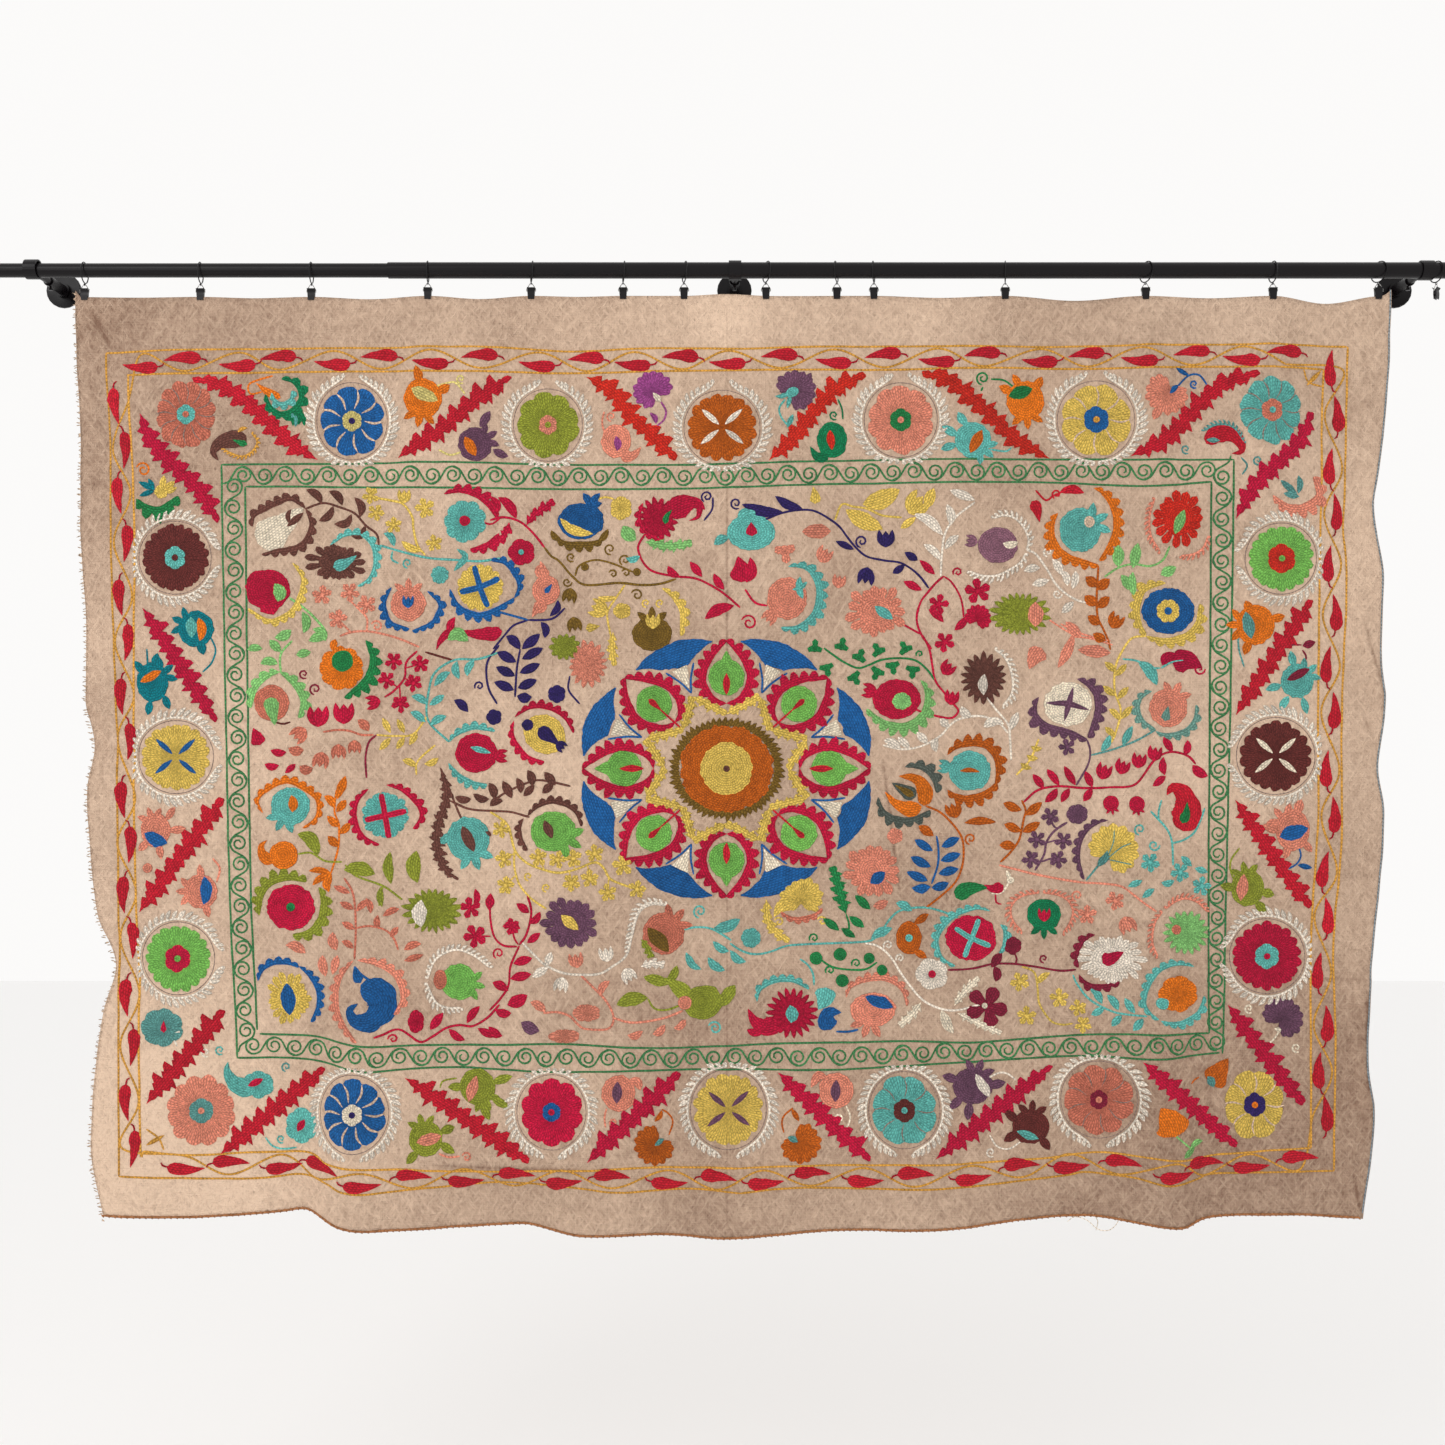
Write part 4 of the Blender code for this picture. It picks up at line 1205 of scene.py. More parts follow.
# %% Small motifs in the top border
SMALL_TOP = """
emerald
crescent 9 266,393 270,407 282,415 296,409 302,396 296,383 282,379
turquoise
crescent+ 7 272,393 276,402 284,405 292,400 293,391
orange
drop 9 281,398 269,393 256,383
thread 2.1 262,392 251,394 248,388 252,382 273,376
emerald
tulip 12,90 299,411
turquoise
leaf 6 291,413 296,419 296,427
brown
drop 18 247,443 236,439 222,443 214,452 219,461
green
drop+ 7 248,445 233,440
gold
comb 5 252,433 258,442 253,452 243,457 230,453 224,449
leaf 4 238,433 242,429 248,428
orange
fruit 19,20,100 423,399
leaf 8 421,384 416,366 / 437,393 450,385
pale_yellow
leaf+ 13 412,389 438,401
thread 2.1 434,387 447,383 456,383 465,394
curl 5,60 461,379
mauve
fruit 17,17,330 475,444
leaf 8 480,427 490,411
leaf 7 493,449 501,454 508,456
orange
leaf+ 10 465,437 476,456
pale_yellow
thread 2.1 439,450 450,455 461,452
salmon
disc 15,17 616,441
drop 12 620,455 632,456 641,447
purple
leaf+ 7 616,436 618,444 617,451
salmon
thread 2.1 604,411 602,420 603,428 607,436
curl 5,90 611,416
purple
carnation 19,52 653,391
cream
leaf+ 5 653,393 661,402
purple
thread 2.1 661,402 666,411 664,420 657,426
leaf 5 650,413 655,418 656,424
mauve
carnation 20,139 795,391
leaf 6 806,384 811,373
turquoise
disc+ 7,5,-25 792,393
leaf+ 4 790,393 782,397 775,397 / 791,395 787,409
thread 2.1 785,400 779,409 782,419 790,428
leaf 5 793,415 787,428
emerald
disc 15,18 832,440
drop 12 829,455 818,457 810,447
scarlet
leaf+ 9 830,430 832,450
emerald
thread 2.1 843,419 842,408 838,399
curl 5,60 834,415
green
curl 7,100,1.5 983,378
thread 2.1 991,379 1004,380 1015,387 / 983,387 981,391
orange
fruit 19,20,85 1026,400
leaf 8 1014,392 999,386 / 1035,389 1043,376
leaf 7 1021,386 1013,374
green
leaf+ 13 1009,396 1033,388
turquoise
fruit 18,18,40 973,440
leaf 8 967,426 958,412 / 958,436 942,426
leaf 7 957,444 941,449
rust
leaf+ 11 982,430 970,453
turquoise
thread 2.1 990,449 1006,451 1012,447
salmon
carnation 21,300 1167,393
leaf 8 1160,404 1153,420
blue
leaf+ 5 1169,394 1178,385
thread 2 1177,387 1188,376 1199,375 1207,385
leaf 4 1189,376 1176,368
curl 4.5,60 1194,384
chili
drop 19 1206,444 1214,436 1227,434 1238,442 1240,452 1231,454
grey_teal
leaf+ 5 1206,440 1219,441
comb 6 1243,444 1232,428 1216,425 1203,431
curl 5,60 1186,449 1256,461
thread 2 1240,458 1246,466 1241,475
"""
sew_table(SMALL_TOP)

# %% Small motifs in the left border
SMALL_LEFT = """
orange
curl 7.5,200,1.4 144,470
teal
leaf 5 139,482 156,490 / 149,479 155,490 / 140,496 155,491
green
crescent 12 137,499 148,509 164,510 180,497
yellow
lobed 7,7,5 162,492
leaf 6 163,489 165,476 / 165,490 176,482
leaf 5 166,493 178,488
teal
fruit 18,18,205 197,629
leaf 8 200,640 205,655
turquoise
leaf+ 12 192,617 193,638
orange
leaf+ 10 200,618 203,630 201,641
teal
thread 2.1 212,638 217,650 213,663 204,672
fruit 16,20,320 153,682
leaf 7 146,675 135,661 / 154,667 158,653 / 164,695 170,709 / 151,700 148,715
orange
leaf+ 9 141,682 162,671
teal
thread 2.1 148,666 147,649
salmon
fruit 15,17,250 156,830
leaf 7 166,820 176,807 / 168,831 187,828 / 159,842 162,859 / 149,840 139,851
blue
leaf+ 13 145,833 156,839 168,843
salmon
disc 5,5 148,868
fruit 17,17,180 202,891
leaf 7 203,880 201,864 / 206,902 210,917
blue
leaf+ 12 206,876 208,890 205,904
salmon
thread 2.1 214,858 221,868 218,882
grey_teal
lobed 21,19,7 163,1027
crimson
drop+ 7 165,1032 165,1020
white
leaf 4 173,1034 163,1038 / 173,1033 183,1030
thread 2 173,1035 178,1046
turquoise
curl 5,60 220,1050
white
curl 5,60 206,1052
turquoise
lobed 16,14,6 258,1085
drop 20 256,1087 243,1088 232,1081 227,1071 228,1062
crimson
leaf++ 6 248,1086 263,1079
grey_teal
curl 5,100 286,1067
turquoise
lobed 16,18,6 301,1126
crimson
leaf+ 7 304,1120 297,1132
turquoise
thread 2 265,1138 272,1146 283,1149 296,1148
curl 4.5,60 281,1139
"""
sew_table(SMALL_LEFT)

# %% Small motifs in the right border
SMALL_RIGHT = """
salmon
crescent 12 1271,496 1284,507 1299,509 1313,503 1319,494 1313,477
grey_teal
leaf 6 1279,481 1296,495 / 1297,476 1299,485 1297,494 / 1282,494 1298,497
orange
fruit 19,20,180 1254,625
leaf 8 1250,613 1244,601 / 1268,620 1284,616 / 1249,640 1243,655
grey_teal
leaf+ 12 1244,612 1250,639
thread 2 1237,636 1238,650 1243,667
turquoise
fruit 17,17,320 1297,681
leaf 7 1294,668 1290,651 / 1281,685 1265,690 / 1288,696 1280,710 / 1302,697 1307,714
maroon
leaf+ 9 1286,680 1309,669
thread 2 1302,650 1306,657 1303,664
leaf 7 1302,646 1315,642
thread 2 1279,648 1290,645 1301,645
salmon
fruit 17,21,230 1293,830
leaf 8 1297,815 1301,799 / 1281,832 1263,825
leaf 7 1289,845 1285,859 / 1303,841 1312,852
blue
leaf+ 16 1280,837 1308,828
thread 2 1299,847 1301,856 1297,864 1289,869
leaf 5 1298,865 1312,868
olive
fruit 17,19,260 1248,888
leaf 8 1261,892 1275,895 / 1256,901 1267,913 / 1237,889 1220,885
salmon
leaf+ 11 1244,874 1241,901
olive
thread 2 1240,848 1232,858 1230,868 1234,880
mauve
carnation 20,130 1283,1019
cream
leaf 5 1275,1029 1281,1030 1287,1027
thread 2 1281,1030 1276,1038 1269,1045
curl 5,60 1250,1009 1297,1048
rust
drop 25 1210,1084 1219,1074 1229,1059
grey_teal
leaf+ 8 1208,1077 1212,1081 1215,1088
rust
thread 2 1199,1077 1194,1079 1190,1083
"""
sew_table(SMALL_RIGHT)

# %% Small motifs in the bottom border
SMALL_FOOT = """
olive
fruit 18,18,60 478,1086
leaf 8 492,1082 513,1075 / 492,1096 510,1107 / 482,1102 490,1119 / 464,1086 448,1087
salmon
leaf+ 10 477,1075 469,1101
olive
thread 2 457,1078 443,1081 440,1088
fruit 17,17,255 426,1138
leaf 8 419,1150 407,1163 / 440,1132 455,1126 / 440,1142 456,1151
salmon
leaf+ 11 417,1142 442,1135
thread 2 440,1152 450,1155 461,1154
curl 5,200 468,1155
disc 17,18 619,1092
leaf 8 628,1081 637,1080 641,1089
mauve
leaf+ 10 618,1080 617,1102
salmon
thread 2 607,1107 605,1116 606,1126
curl 5,60 614,1121
rust
carnation 20,315 655,1143
grey_teal
leaf+ 5 655,1144 664,1137
rust
thread 2 669,1134 673,1121 669,1113 662,1108
leaf 5 662,1109 660,1115 655,1120
carnation 20,225 800,1143
grey_teal
leaf+ 6 788,1137 798,1142
rust
thread 2 784,1133 782,1124 784,1116 793,1108
leaf 5 792,1109 799,1121
salmon
disc 17,18 836,1090
leaf 8 827,1080 819,1075 811,1087
mauve
leaf+ 10 836,1079 835,1101
cream
thread 2 846,1105 850,1118 843,1135
curl 5.5,100 839,1118
mauve
fruit 20,18,290 972,1085
leaf 8 959,1080 942,1075 / 962,1095 949,1108 / 969,1100 967,1119 / 986,1086 1005,1081
white
leaf+ 10 975,1073 989,1096
thread 2 986,1078 998,1072 1007,1073 1015,1079
red_brown
fruit 19,17,275 1030,1126
leaf 8 1018,1121 1004,1110 / 1018,1131 1003,1140 / 1040,1136 1049,1149
turquoise
leaf+ 8 1016,1130 1038,1138
white
thread 2 1020,1141 1008,1148 996,1145 989,1134
curl 5,60 990,1151
orange
drop 34 1172,1134 1168,1120 1157,1105
pale_green
thread 2 1169,1130 1189,1147
leaf 6 1182,1156 1194,1147 / 1189,1147 1196,1142 1203,1141
"""
sew_table(SMALL_FOOT)
finish_piece("small_border_motifs")

# %% [markdown]
# The field round the medallion is full of loose flowers, fruit, paisleys and sprigs. Many of them stand
# half inside a toothed crescent of another colour. They are sewn region by region.

# %% Field, upper left
UPPER_LEFT = """
cream
drop 33 259,544 274,533 290,520 304,508
brown
crescent 8 306,509 293,499 280,502 266,509 255,516 253,527
crescent 8 306,509 312,525 304,544 290,550 282,551 263,555
leaf+ 6 288,527 304,513
leaf+ 5 290,524 289,515 292,510
thread 2.4 306,509 323,503 339,507 354,513 365,525 376,534 378,545
leaf 7 307,490 316,494 322,503 / 329,491 338,496 342,505 / 354,497 361,506 359,517
leaf 7 333,506 329,515 319,521 / 351,514 346,523 334,524
leaf 6 365,525 360,535 350,535
rays 30,18,17 337,562
turquoise
drop+ 13 333,567 345,563 356,555
crescent 7 330,545 346,534 365,536 374,549 374,566 368,579 357,586
yellow
thread 2.6 425,555 417,545 413,528 412,517 403,504 390,500 373,497
star 8 370,495 375,512 393,525 434,543
star 9.5 425,508
tulip 11,270 404,503
leaf 7 421,551 411,548 401,541
turquoise
lobed 21,21,9 465,521
crimson
disc+ 5.5,5.5 465,521
crescent 9 444,494 460,490 476,494 489,504 497,518
crescent 8 499,533 486,546 470,550
thread 2.2 483,522 491,524 500,518
turquoise
thread 2.6 379,545 403,552 429,558 457,560 480,561 500,558
leaf 7 394,546 390,536 383,533
curl 5,90 407,563
thread 2.4 392,551 391,559 398,563
lobed 9,9,9 440,575
leaf 6 457,549 465,557 454,571
yellow
lobed 23,23,14 480,587
blue
thread++ 6.5 474,566 480,587 488,607 / 460,592 480,587 499,578
crescent 8 450,589 457,605 469,613 482,615 498,609 514,598
crescent 7 514,598 519,588 517,577 506,563 491,560
crimson
disc 22,20 269,590
leaf 12 256,592 256,580 258,571
leaf 18 262,598 271,606 275,615
pale_green
leaf+ 13 276,584 281,592 279,602
thread 2.6 290,598 303,607 314,617 325,630
yellow
crescent 7 293,563 303,578 301,596 294,610 283,618 269,621 250,609
pale_green
leaf 8 303,612 307,622 304,633 / 313,629 322,632 325,641
leaf 9 292,630 285,636 276,638
salmon
thread 2.5 419,647 400,639 383,634 366,631 350,632 339,636
star 9 322,595 349,592 366,604 337,619
thread 2.2 366,631 366,618 358,609 349,600 / 350,632 337,619
curl 6,200 376,626
fruit 18,17,270 408,604
blue
tulip+ 10,270 408,608
crescent 6.5 391,587 384,600 384,610 390,623 409,629 / 427,591 440,603 438,614 431,624 412,631
crimson
drop 11 462,632 448,634 440,641 436,650
drop 15 502,631 488,634 474,634 458,631
leaf 7 455,636 450,626 455,617
pale_green
leaf+ 11 448,640 457,634 468,641
crimson
thread 2.6 490,520 503,517 519,521 533,533 544,547
leaf 9 498,497 509,505 516,518
leaf 7 490,496 497,504 496,514
spine 11 509,522 503,536 490,548
spine 10 526,525 536,513 554,501
lobed 13.5,13.5,5 521,552
turquoise
disc+ 3,3 521,552
blue
disc 23,18 581,521
leaf 7 590,508 588,500 583,493 / 592,508 594,500 600,493
leaf 6 590,506 602,503
yellow
leaf+ 10 560,518 573,530 593,534
lobed 11,12,6 621,508
thread 2.4 596,500 605,497 614,499
bronze
crescent 9 556,538 568,544 590,544 602,540
leaf 6 551,530 554,536 561,540 / 608,529 604,537 598,541
thread 2.6 544,547 551,556 559,561 573,577 586,585 618,583 640,585 659,584 676,579
thread 2.2 575,576 579,566 594,560 611,563 633,572
curl 5,60 571,557
curl 6,80 610,549
curl 6,120 625,560
curl 5,0 567,582
curl 6,200 637,595
curl 4.5,200,1.2 613,574 626,573
disc 4,4 585,567 637,572
tulip 12,100 571,588
tulip 12,80 573,617
crimson
jagged 18,20 658,519
drop 24 668,514 684,505 697,503 705,510
drop 8 688,505 699,506 698,517 689,521
crescent 6 643,503 639,518 646,532 660,540
green
drop++ 7 665,524 667,516 672,510
crimson
thread 2.6 645,534 638,549 649,569 673,576 697,579 721,592 740,608
leaf 7 668,566 672,573 680,577 / 690,562 702,577 / 714,574 718,583 724,590
leaf 10 705,619 718,610 734,606
pale_green
leaf 12 623,526 629,535 636,540
spine 12 645,542 667,546 692,544
turquoise
leaf 6 640,556 632,560 626,558
navy
curl 6,120,1.4 707,497
thread 2.2 713,498 712,510 704,521
salmon
disc 14,15 546,590
drop 10 546,578 540,561 / 541,601 532,617
blue
drop+ 7 545,593 552,584
salmon
leaf 6 543,580 538,571 543,563 / 545,600 543,608 535,613
blue
thread 2.4 496,611 528,620
navy
thread 2.6 528,620 542,620 554,618 565,608
thread 2.4 528,620 514,625 506,633 493,649
leaf 7 541,622 546,629 545,638
leaf 6 550,616 557,609 558,600
yellow
thread 2.2 625,585 616,598 608,611 608,622 614,649
tulip 15,200 608,612
lobed 9,8,5 622,611
leaf 5 598,597 606,599 617,597
drop 9 586,629 600,626
spine 9 613,632 612,648 614,666
bronze
fruit 20,17,270 652,634
yellow
tulip+ 12,270 653,629
curl 4.5,90,1.2 646,603 660,603
crescent 8 662,588 675,598 683,613 681,636
turquoise
disc 24,18 751,533
leaf 11 738,524 746,515 757,513
crimson
drop+ 14 752,537 751,523
"""
sew_table(UPPER_LEFT)
finish_piece("field_upper_left")

# %% Field, middle left
MIDDLE_LEFT = """
pale_green
thread 2.4 282,672 281,661 283,652 293,641
leaf 8 271,640 282,652 / 297,655 311,652 / 262,664 270,661 279,664 / 309,641 318,637 327,638
leaf 7 249,650 256,648 264,649
crescent 9 281,672 268,676 259,684 254,694 252,708 / 281,672 294,682 301,692 304,703 299,718
dull_salmon
disc 17,18 273,703
pale_green
drop+ 20 272,697 276,725
red_brown
thread 2.2 276,722 284,724 291,722
maroon
curl 5,60 304,674
curl 6,100 315,689
orange
lobed 22,22,9 341,668
green
disc+ 11,11 342,661
orange
leaf 7 331,650 335,639
green
crescent 11 365,640 372,655 371,670 363,684 344,698
crimson
thread 2.4 417,651 406,662 404,678 393,691 384,697
star 8.5 393,661 420,664 386,680 413,683 400,704
tulip 12,170 380,701
thread 1.8 405,668 420,664 / 404,678 413,683 / 397,687 386,680 / 399,684 400,704
red_brown
thread 2.4 425,652 452,660
crimson
tulip 17,270 318,727 343,724
turquoise
thread 2.6 500,652 478,659 454,660 435,672 429,688 426,710 430,724 449,742
leaf 7 474,660 468,668 467,676 / 457,661 455,670 459,679 / 450,672 443,676 434,686
leaf 7 411,696 419,698 427,704 / 444,695 429,705 / 410,712 417,715 425,722 / 446,716 438,719 430,725
navy
thread 2.5 499,645 488,660 486,674 489,690 497,704
leaf 8 454,700 461,704 468,712
curl 5,150 479,686
lobed 8,8,5 494,717
dull_salmon
thread 2.4 323,732 336,730 349,731 361,735 373,735
tulip 13,140 306,729
tulip 13,100 322,752
tulip 12,90 338,744
tulip 11,90 354,740
leaf 9 289,748 296,751 304,750 / 300,766 306,770 313,768 / 357,720 363,724 368,731
crimson
drop 15 262,745 255,728
leaf 7 272,750 279,753 287,752 / 266,764 273,767 280,765
leaf 6 286,773 296,764
yellow
thread 2.2 376,735 395,736 413,734 427,716
leaf 6 382,718 390,733 / 397,719 404,733 / 379,750 390,738 / 396,749 404,737 / 409,745 417,732
thread 2.2 435,745 422,756 416,764 416,775
leaf 6 424,764 431,763 438,758 / 402,760 409,762 416,767
crimson
disc 21,20 476,753
tulip 11,0 494,756
turquoise
leaf+ 6 470,747 491,753
crescent 7 449,742 455,735 464,730 476,727 495,731 / 448,763 456,774 465,780 475,784 487,785
maroon
thread 2.4 366,778 365,759 368,743 376,735
navy
thread 2.4 515,697 516,682 517,667 520,649
leaf 8.5 506,636 513,640 520,649 / 540,634 522,649 / 497,652 516,662 / 543,648 522,659 / 496,667 515,676
leaf 8.5 540,664 520,673 / 494,682 514,690 / 537,680 518,688 / 532,697 525,698 517,696
lobed 9,9,6 557,694
thread 2.2 570,676 569,690 580,704
salmon
jagged 17,22 588,664
olive
jagged 15,12 565,647
yellow
disc 22,19,30 545,734
navy
drop+ 17 539,728 560,745
tulip+ 9,40 557,742
lobed+ 6,6,5 528,725
crimson
crescent 7 515,717 528,708 541,706 556,710 567,719 574,733 / 514,721 512,734 518,747 529,758 545,762
brown
thread 2.4 493,801 503,794 515,788 527,783 538,780 553,782 571,786 / 440,768 449,790 458,812 470,838
thread 2.4 450,801 469,809 494,811 512,812 530,817
leaf 8 503,781 512,798 / 489,783 493,790 495,799
leaf 7 517,778 521,785 521,793
leaf 8 528,770 532,777 533,786
leaf 7 524,796 535,785
leaf 8 545,772 556,785
leaf 7 543,793 554,783
turquoise
fruit 19,19,120 291,806
orange
leaf+ 9 292,795 294,803 293,812
crescent 7 264,813 259,800 270,788 288,781 306,789 318,801 316,818 303,828
thread 2.3 336,790 334,811 338,822 339,830 338,849 331,873
leaf 7 324,796 330,800 335,808
leaf 8 345,776 337,799
leaf 7 346,800 336,812 / 327,816 338,827 / 350,823 340,834 / 328,836 338,847
leaf 6 309,871 319,870 331,873 / 313,885 319,879 330,873
leaf 8 329,892 327,883 331,872
turquoise
lobed 23,23,14 385,815
crimson
thread++ 6.5 381,794 389,838 / 365,820 406,811
crescent 7 368,789 358,799 354,812 356,826 364,838 379,845
crescent 7 386,785 400,789 411,797 420,808 421,818 413,829
turquoise
fruit 22,22,70 468,839
brown
leaf+ 12 462,826 474,852
turquoise
leaf 8 454,836 446,838 439,845
brown
spine 12 440,768 446,790 444,806 438,822 436,840 439,858 447,872 458,880
crescent 6 462,823 476,826 491,836
leaf 7 455,797 463,800 471,799 / 473,794 481,799 489,799 / 490,806 496,801 503,801
orange
disc 14,14,0 284,855
drop 12 275,862 265,856 262,846 268,840
olive
leaf 12 298,834 311,839 318,855
thread 2.2 298,854 311,853 325,861 342,862
"""
sew_table(MIDDLE_LEFT)
finish_piece("field_middle_left")

# %% Field, lower left
LOWER_LEFT = """
crimson
disc 24,23 291,907
green
disc+ 4.5,4.5 291,907
olive
crescent 11 260,915 260,898 266,886 277,879 291,877 307,881
crescent 11 319,887 324,900 323,916 316,928 306,934 293,935
leaf 13 344,870 359,868 375,874
thread 2.4 345,865 356,876 383,886 402,900
thread 2.2 383,886 380,895 379,906
leaf 9 390,852 388,868 391,884
leaf 12 416,851 413,868 417,883
leaf 6 381,887 380,897 382,907
jagged 27,20 432,911
white
leaf+ 14 421,900 419,913 421,927
dull_salmon
thread 2.4 344,878 352,891 355,905 356,930 355,959
thread 2.2 356,928 370,926 385,930 394,939 398,950
leaf 6 334,886 350,893 / 340,902 354,909 / 370,900 363,904 357,911 / 342,922 355,929
leaf 6 342,941 348,943 354,948 / 378,915 377,922 379,929 / 398,927 390,937
leaf 7 404,950 412,945 421,944
leaf 6 404,961 423,955 / 366,898 370,905 371,913 / 383,916 391,911 399,909
crimson
star 10 470,908
leaf 8 491,893 489,910
star 11 475,936
leaf 6 475,889 477,898 474,906
thread 2.4 490,906 491,922 495,937 504,945 518,946
thread 2 476,936 491,936
star 8 512,926
thread 2 513,930 515,938 519,944
curl 6,120 499,953
lime
fruit 23,20,30 554,831
brown
leaf+ 9 545,820 553,838
crescent 7 528,816 538,806 552,801 566,804 577,812 582,826
crescent 6 524,818 520,827 521,838 528,850
yellow
thread 2.6 490,812 500,818 509,827 515,849 524,860 535,866 557,872 576,869 595,862 604,868 611,879 630,887
thread 2.4 515,849 515,867 520,884 532,898 547,908
star 8.5 501,829 504,859 506,885 539,857 558,859 574,858 595,853 572,882 590,878 608,892 637,889
star 10 623,865
thread 1.6 515,853 504,859 / 516,875 506,885 / 545,869 540,859 / 575,869 574,859 / 570,871 572,881
thread 1.6 588,865 590,877 / 609,877 608,891
curl 4.5,90,1.2 529,876 547,887
mauve
rays 29,26,16 571,922
yellow
leaf++ 9 562,914 579,929
crimson
thread 2.5 528,895 532,910 530,924 526,936 520,944
leaf 7 517,903 530,912 / 541,911 537,918 531,923 / 506,922 521,928 / 541,932 528,942
thread 2.5 520,945 511,966 509,985 501,998 490,1010
leaf 8 533,957 514,963 / 532,973 511,978 / 493,982 502,985 509,990
leaf 11 528,994 519,1000 508,1004
leaf 8 512,1012 504,1013 496,1009 / 489,1026 496,1033 503,1035
mauve
leaf 11 522,1021 531,1027 540,1030
dull_salmon
fruit 21,21,310 664,933
bronze
leaf+ 14 648,927 669,951
olive
spine 9 641,939 647,946 651,957
white
thread 2.5 523,942 535,954 546,964 564,972 584,974 600,973 611,967 627,954 633,929 640,911 652,904 667,905
tulip 12,100 563,976
tulip 12,260 608,961
tulip 12,60 625,968
spine 9 641,966 652,963 664,965
comb 9 667,904 648,903 637,914 633,932 628,950
leaf 7 552,951 547,965 / 533,976 549,966
salmon
tulip 12,260 578,967
yellow
rays 22,27,17 289,998
blue
leaf+ 15 287,983 290,1015
crescent 7 258,981 262,970 272,963 286,962 299,967 / 299,966 311,976 319,990 319,1006 311,1022
salmon
leaf 9 286,945 296,946 306,953 / 323,955 323,964 326,976
leaf 8 338,955 333,974
leaf 9 333,932 333,942 337,950
blue
drop 31 362,984 379,992 384,1006 373,1019 357,1019 352,1009 360,1002
drop 10 362,982 357,974 355,966
thread 2.6 371,980 362,974 355,966
salmon
crescent 8 354,960 342,974 337,990 338,1008 346,1026 359,1041
crescent 8 358,960 376,963 393,972 402,986 403,1000 395,1014
lime
fruit 18,18,10 459,982
dull_salmon
disc+ 7,10,0 440,980
white
comb 9 427,979 433,963 443,954 458,950 475,956 490,967 / 426,983 431,995 437,1004 448,1008 461,1008
crimson
thread 2.6 376,1036 385,1033 400,1029 419,1042 432,1037 446,1028 460,1025 473,1026 488,1017 500,1004
lobed 8,12,5 416,1022
leaf 8 430,1030 443,1013
leaf 7 467,1023 473,1013 480,1006 / 449,1029 456,1036 465,1040 / 478,1028 488,1033 497,1035
curl 5,180 394,1038
salmon
thread 2.5 544,1012 558,1011 570,1015 578,1023 586,1028 608,1028 614,1017 607,1001 592,985 581,974
thread 2.5 614,1017 628,1021 643,1021 665,1017 683,1010
lobed 16,7,7 565,1035
lobed 14,9,7 587,1012
leaf 8 531,1001 539,1004 546,1011
leaf 7 610,980 603,986 600,995 / 628,1034 635,1035 643,1030 / 653,1033 660,1031 665,1024
leaf 7 674,1027 680,1026 686,1019
olive
disc 20,17,-12 703,1002
drop 17 690,996 665,977
leaf 8 677,965 674,974 667,982
leaf 12 617,1004 632,998 648,997
thread 2.4 648,998 655,1008 668,1009 684,1003
leaf 12 715,1006 726,997 735,985
leaf 10 644,976 670,983
salmon
disc+ 7,7 685,1002
turquoise
curl 7,200,1.4 715,1028
thread 2.4 680,930 696,927 713,929 731,940
curl 7,100,1.4 700,911
leaf 10 713,929 727,926 740,919
leaf 7 686,952 692,964 701,969
leaf 8 708,957 715,966 725,970
leaf 7 713,941 720,948 729,951 / 730,950 737,959 746,962
"""
sew_table(LOWER_LEFT)
finish_piece("field_lower_left")

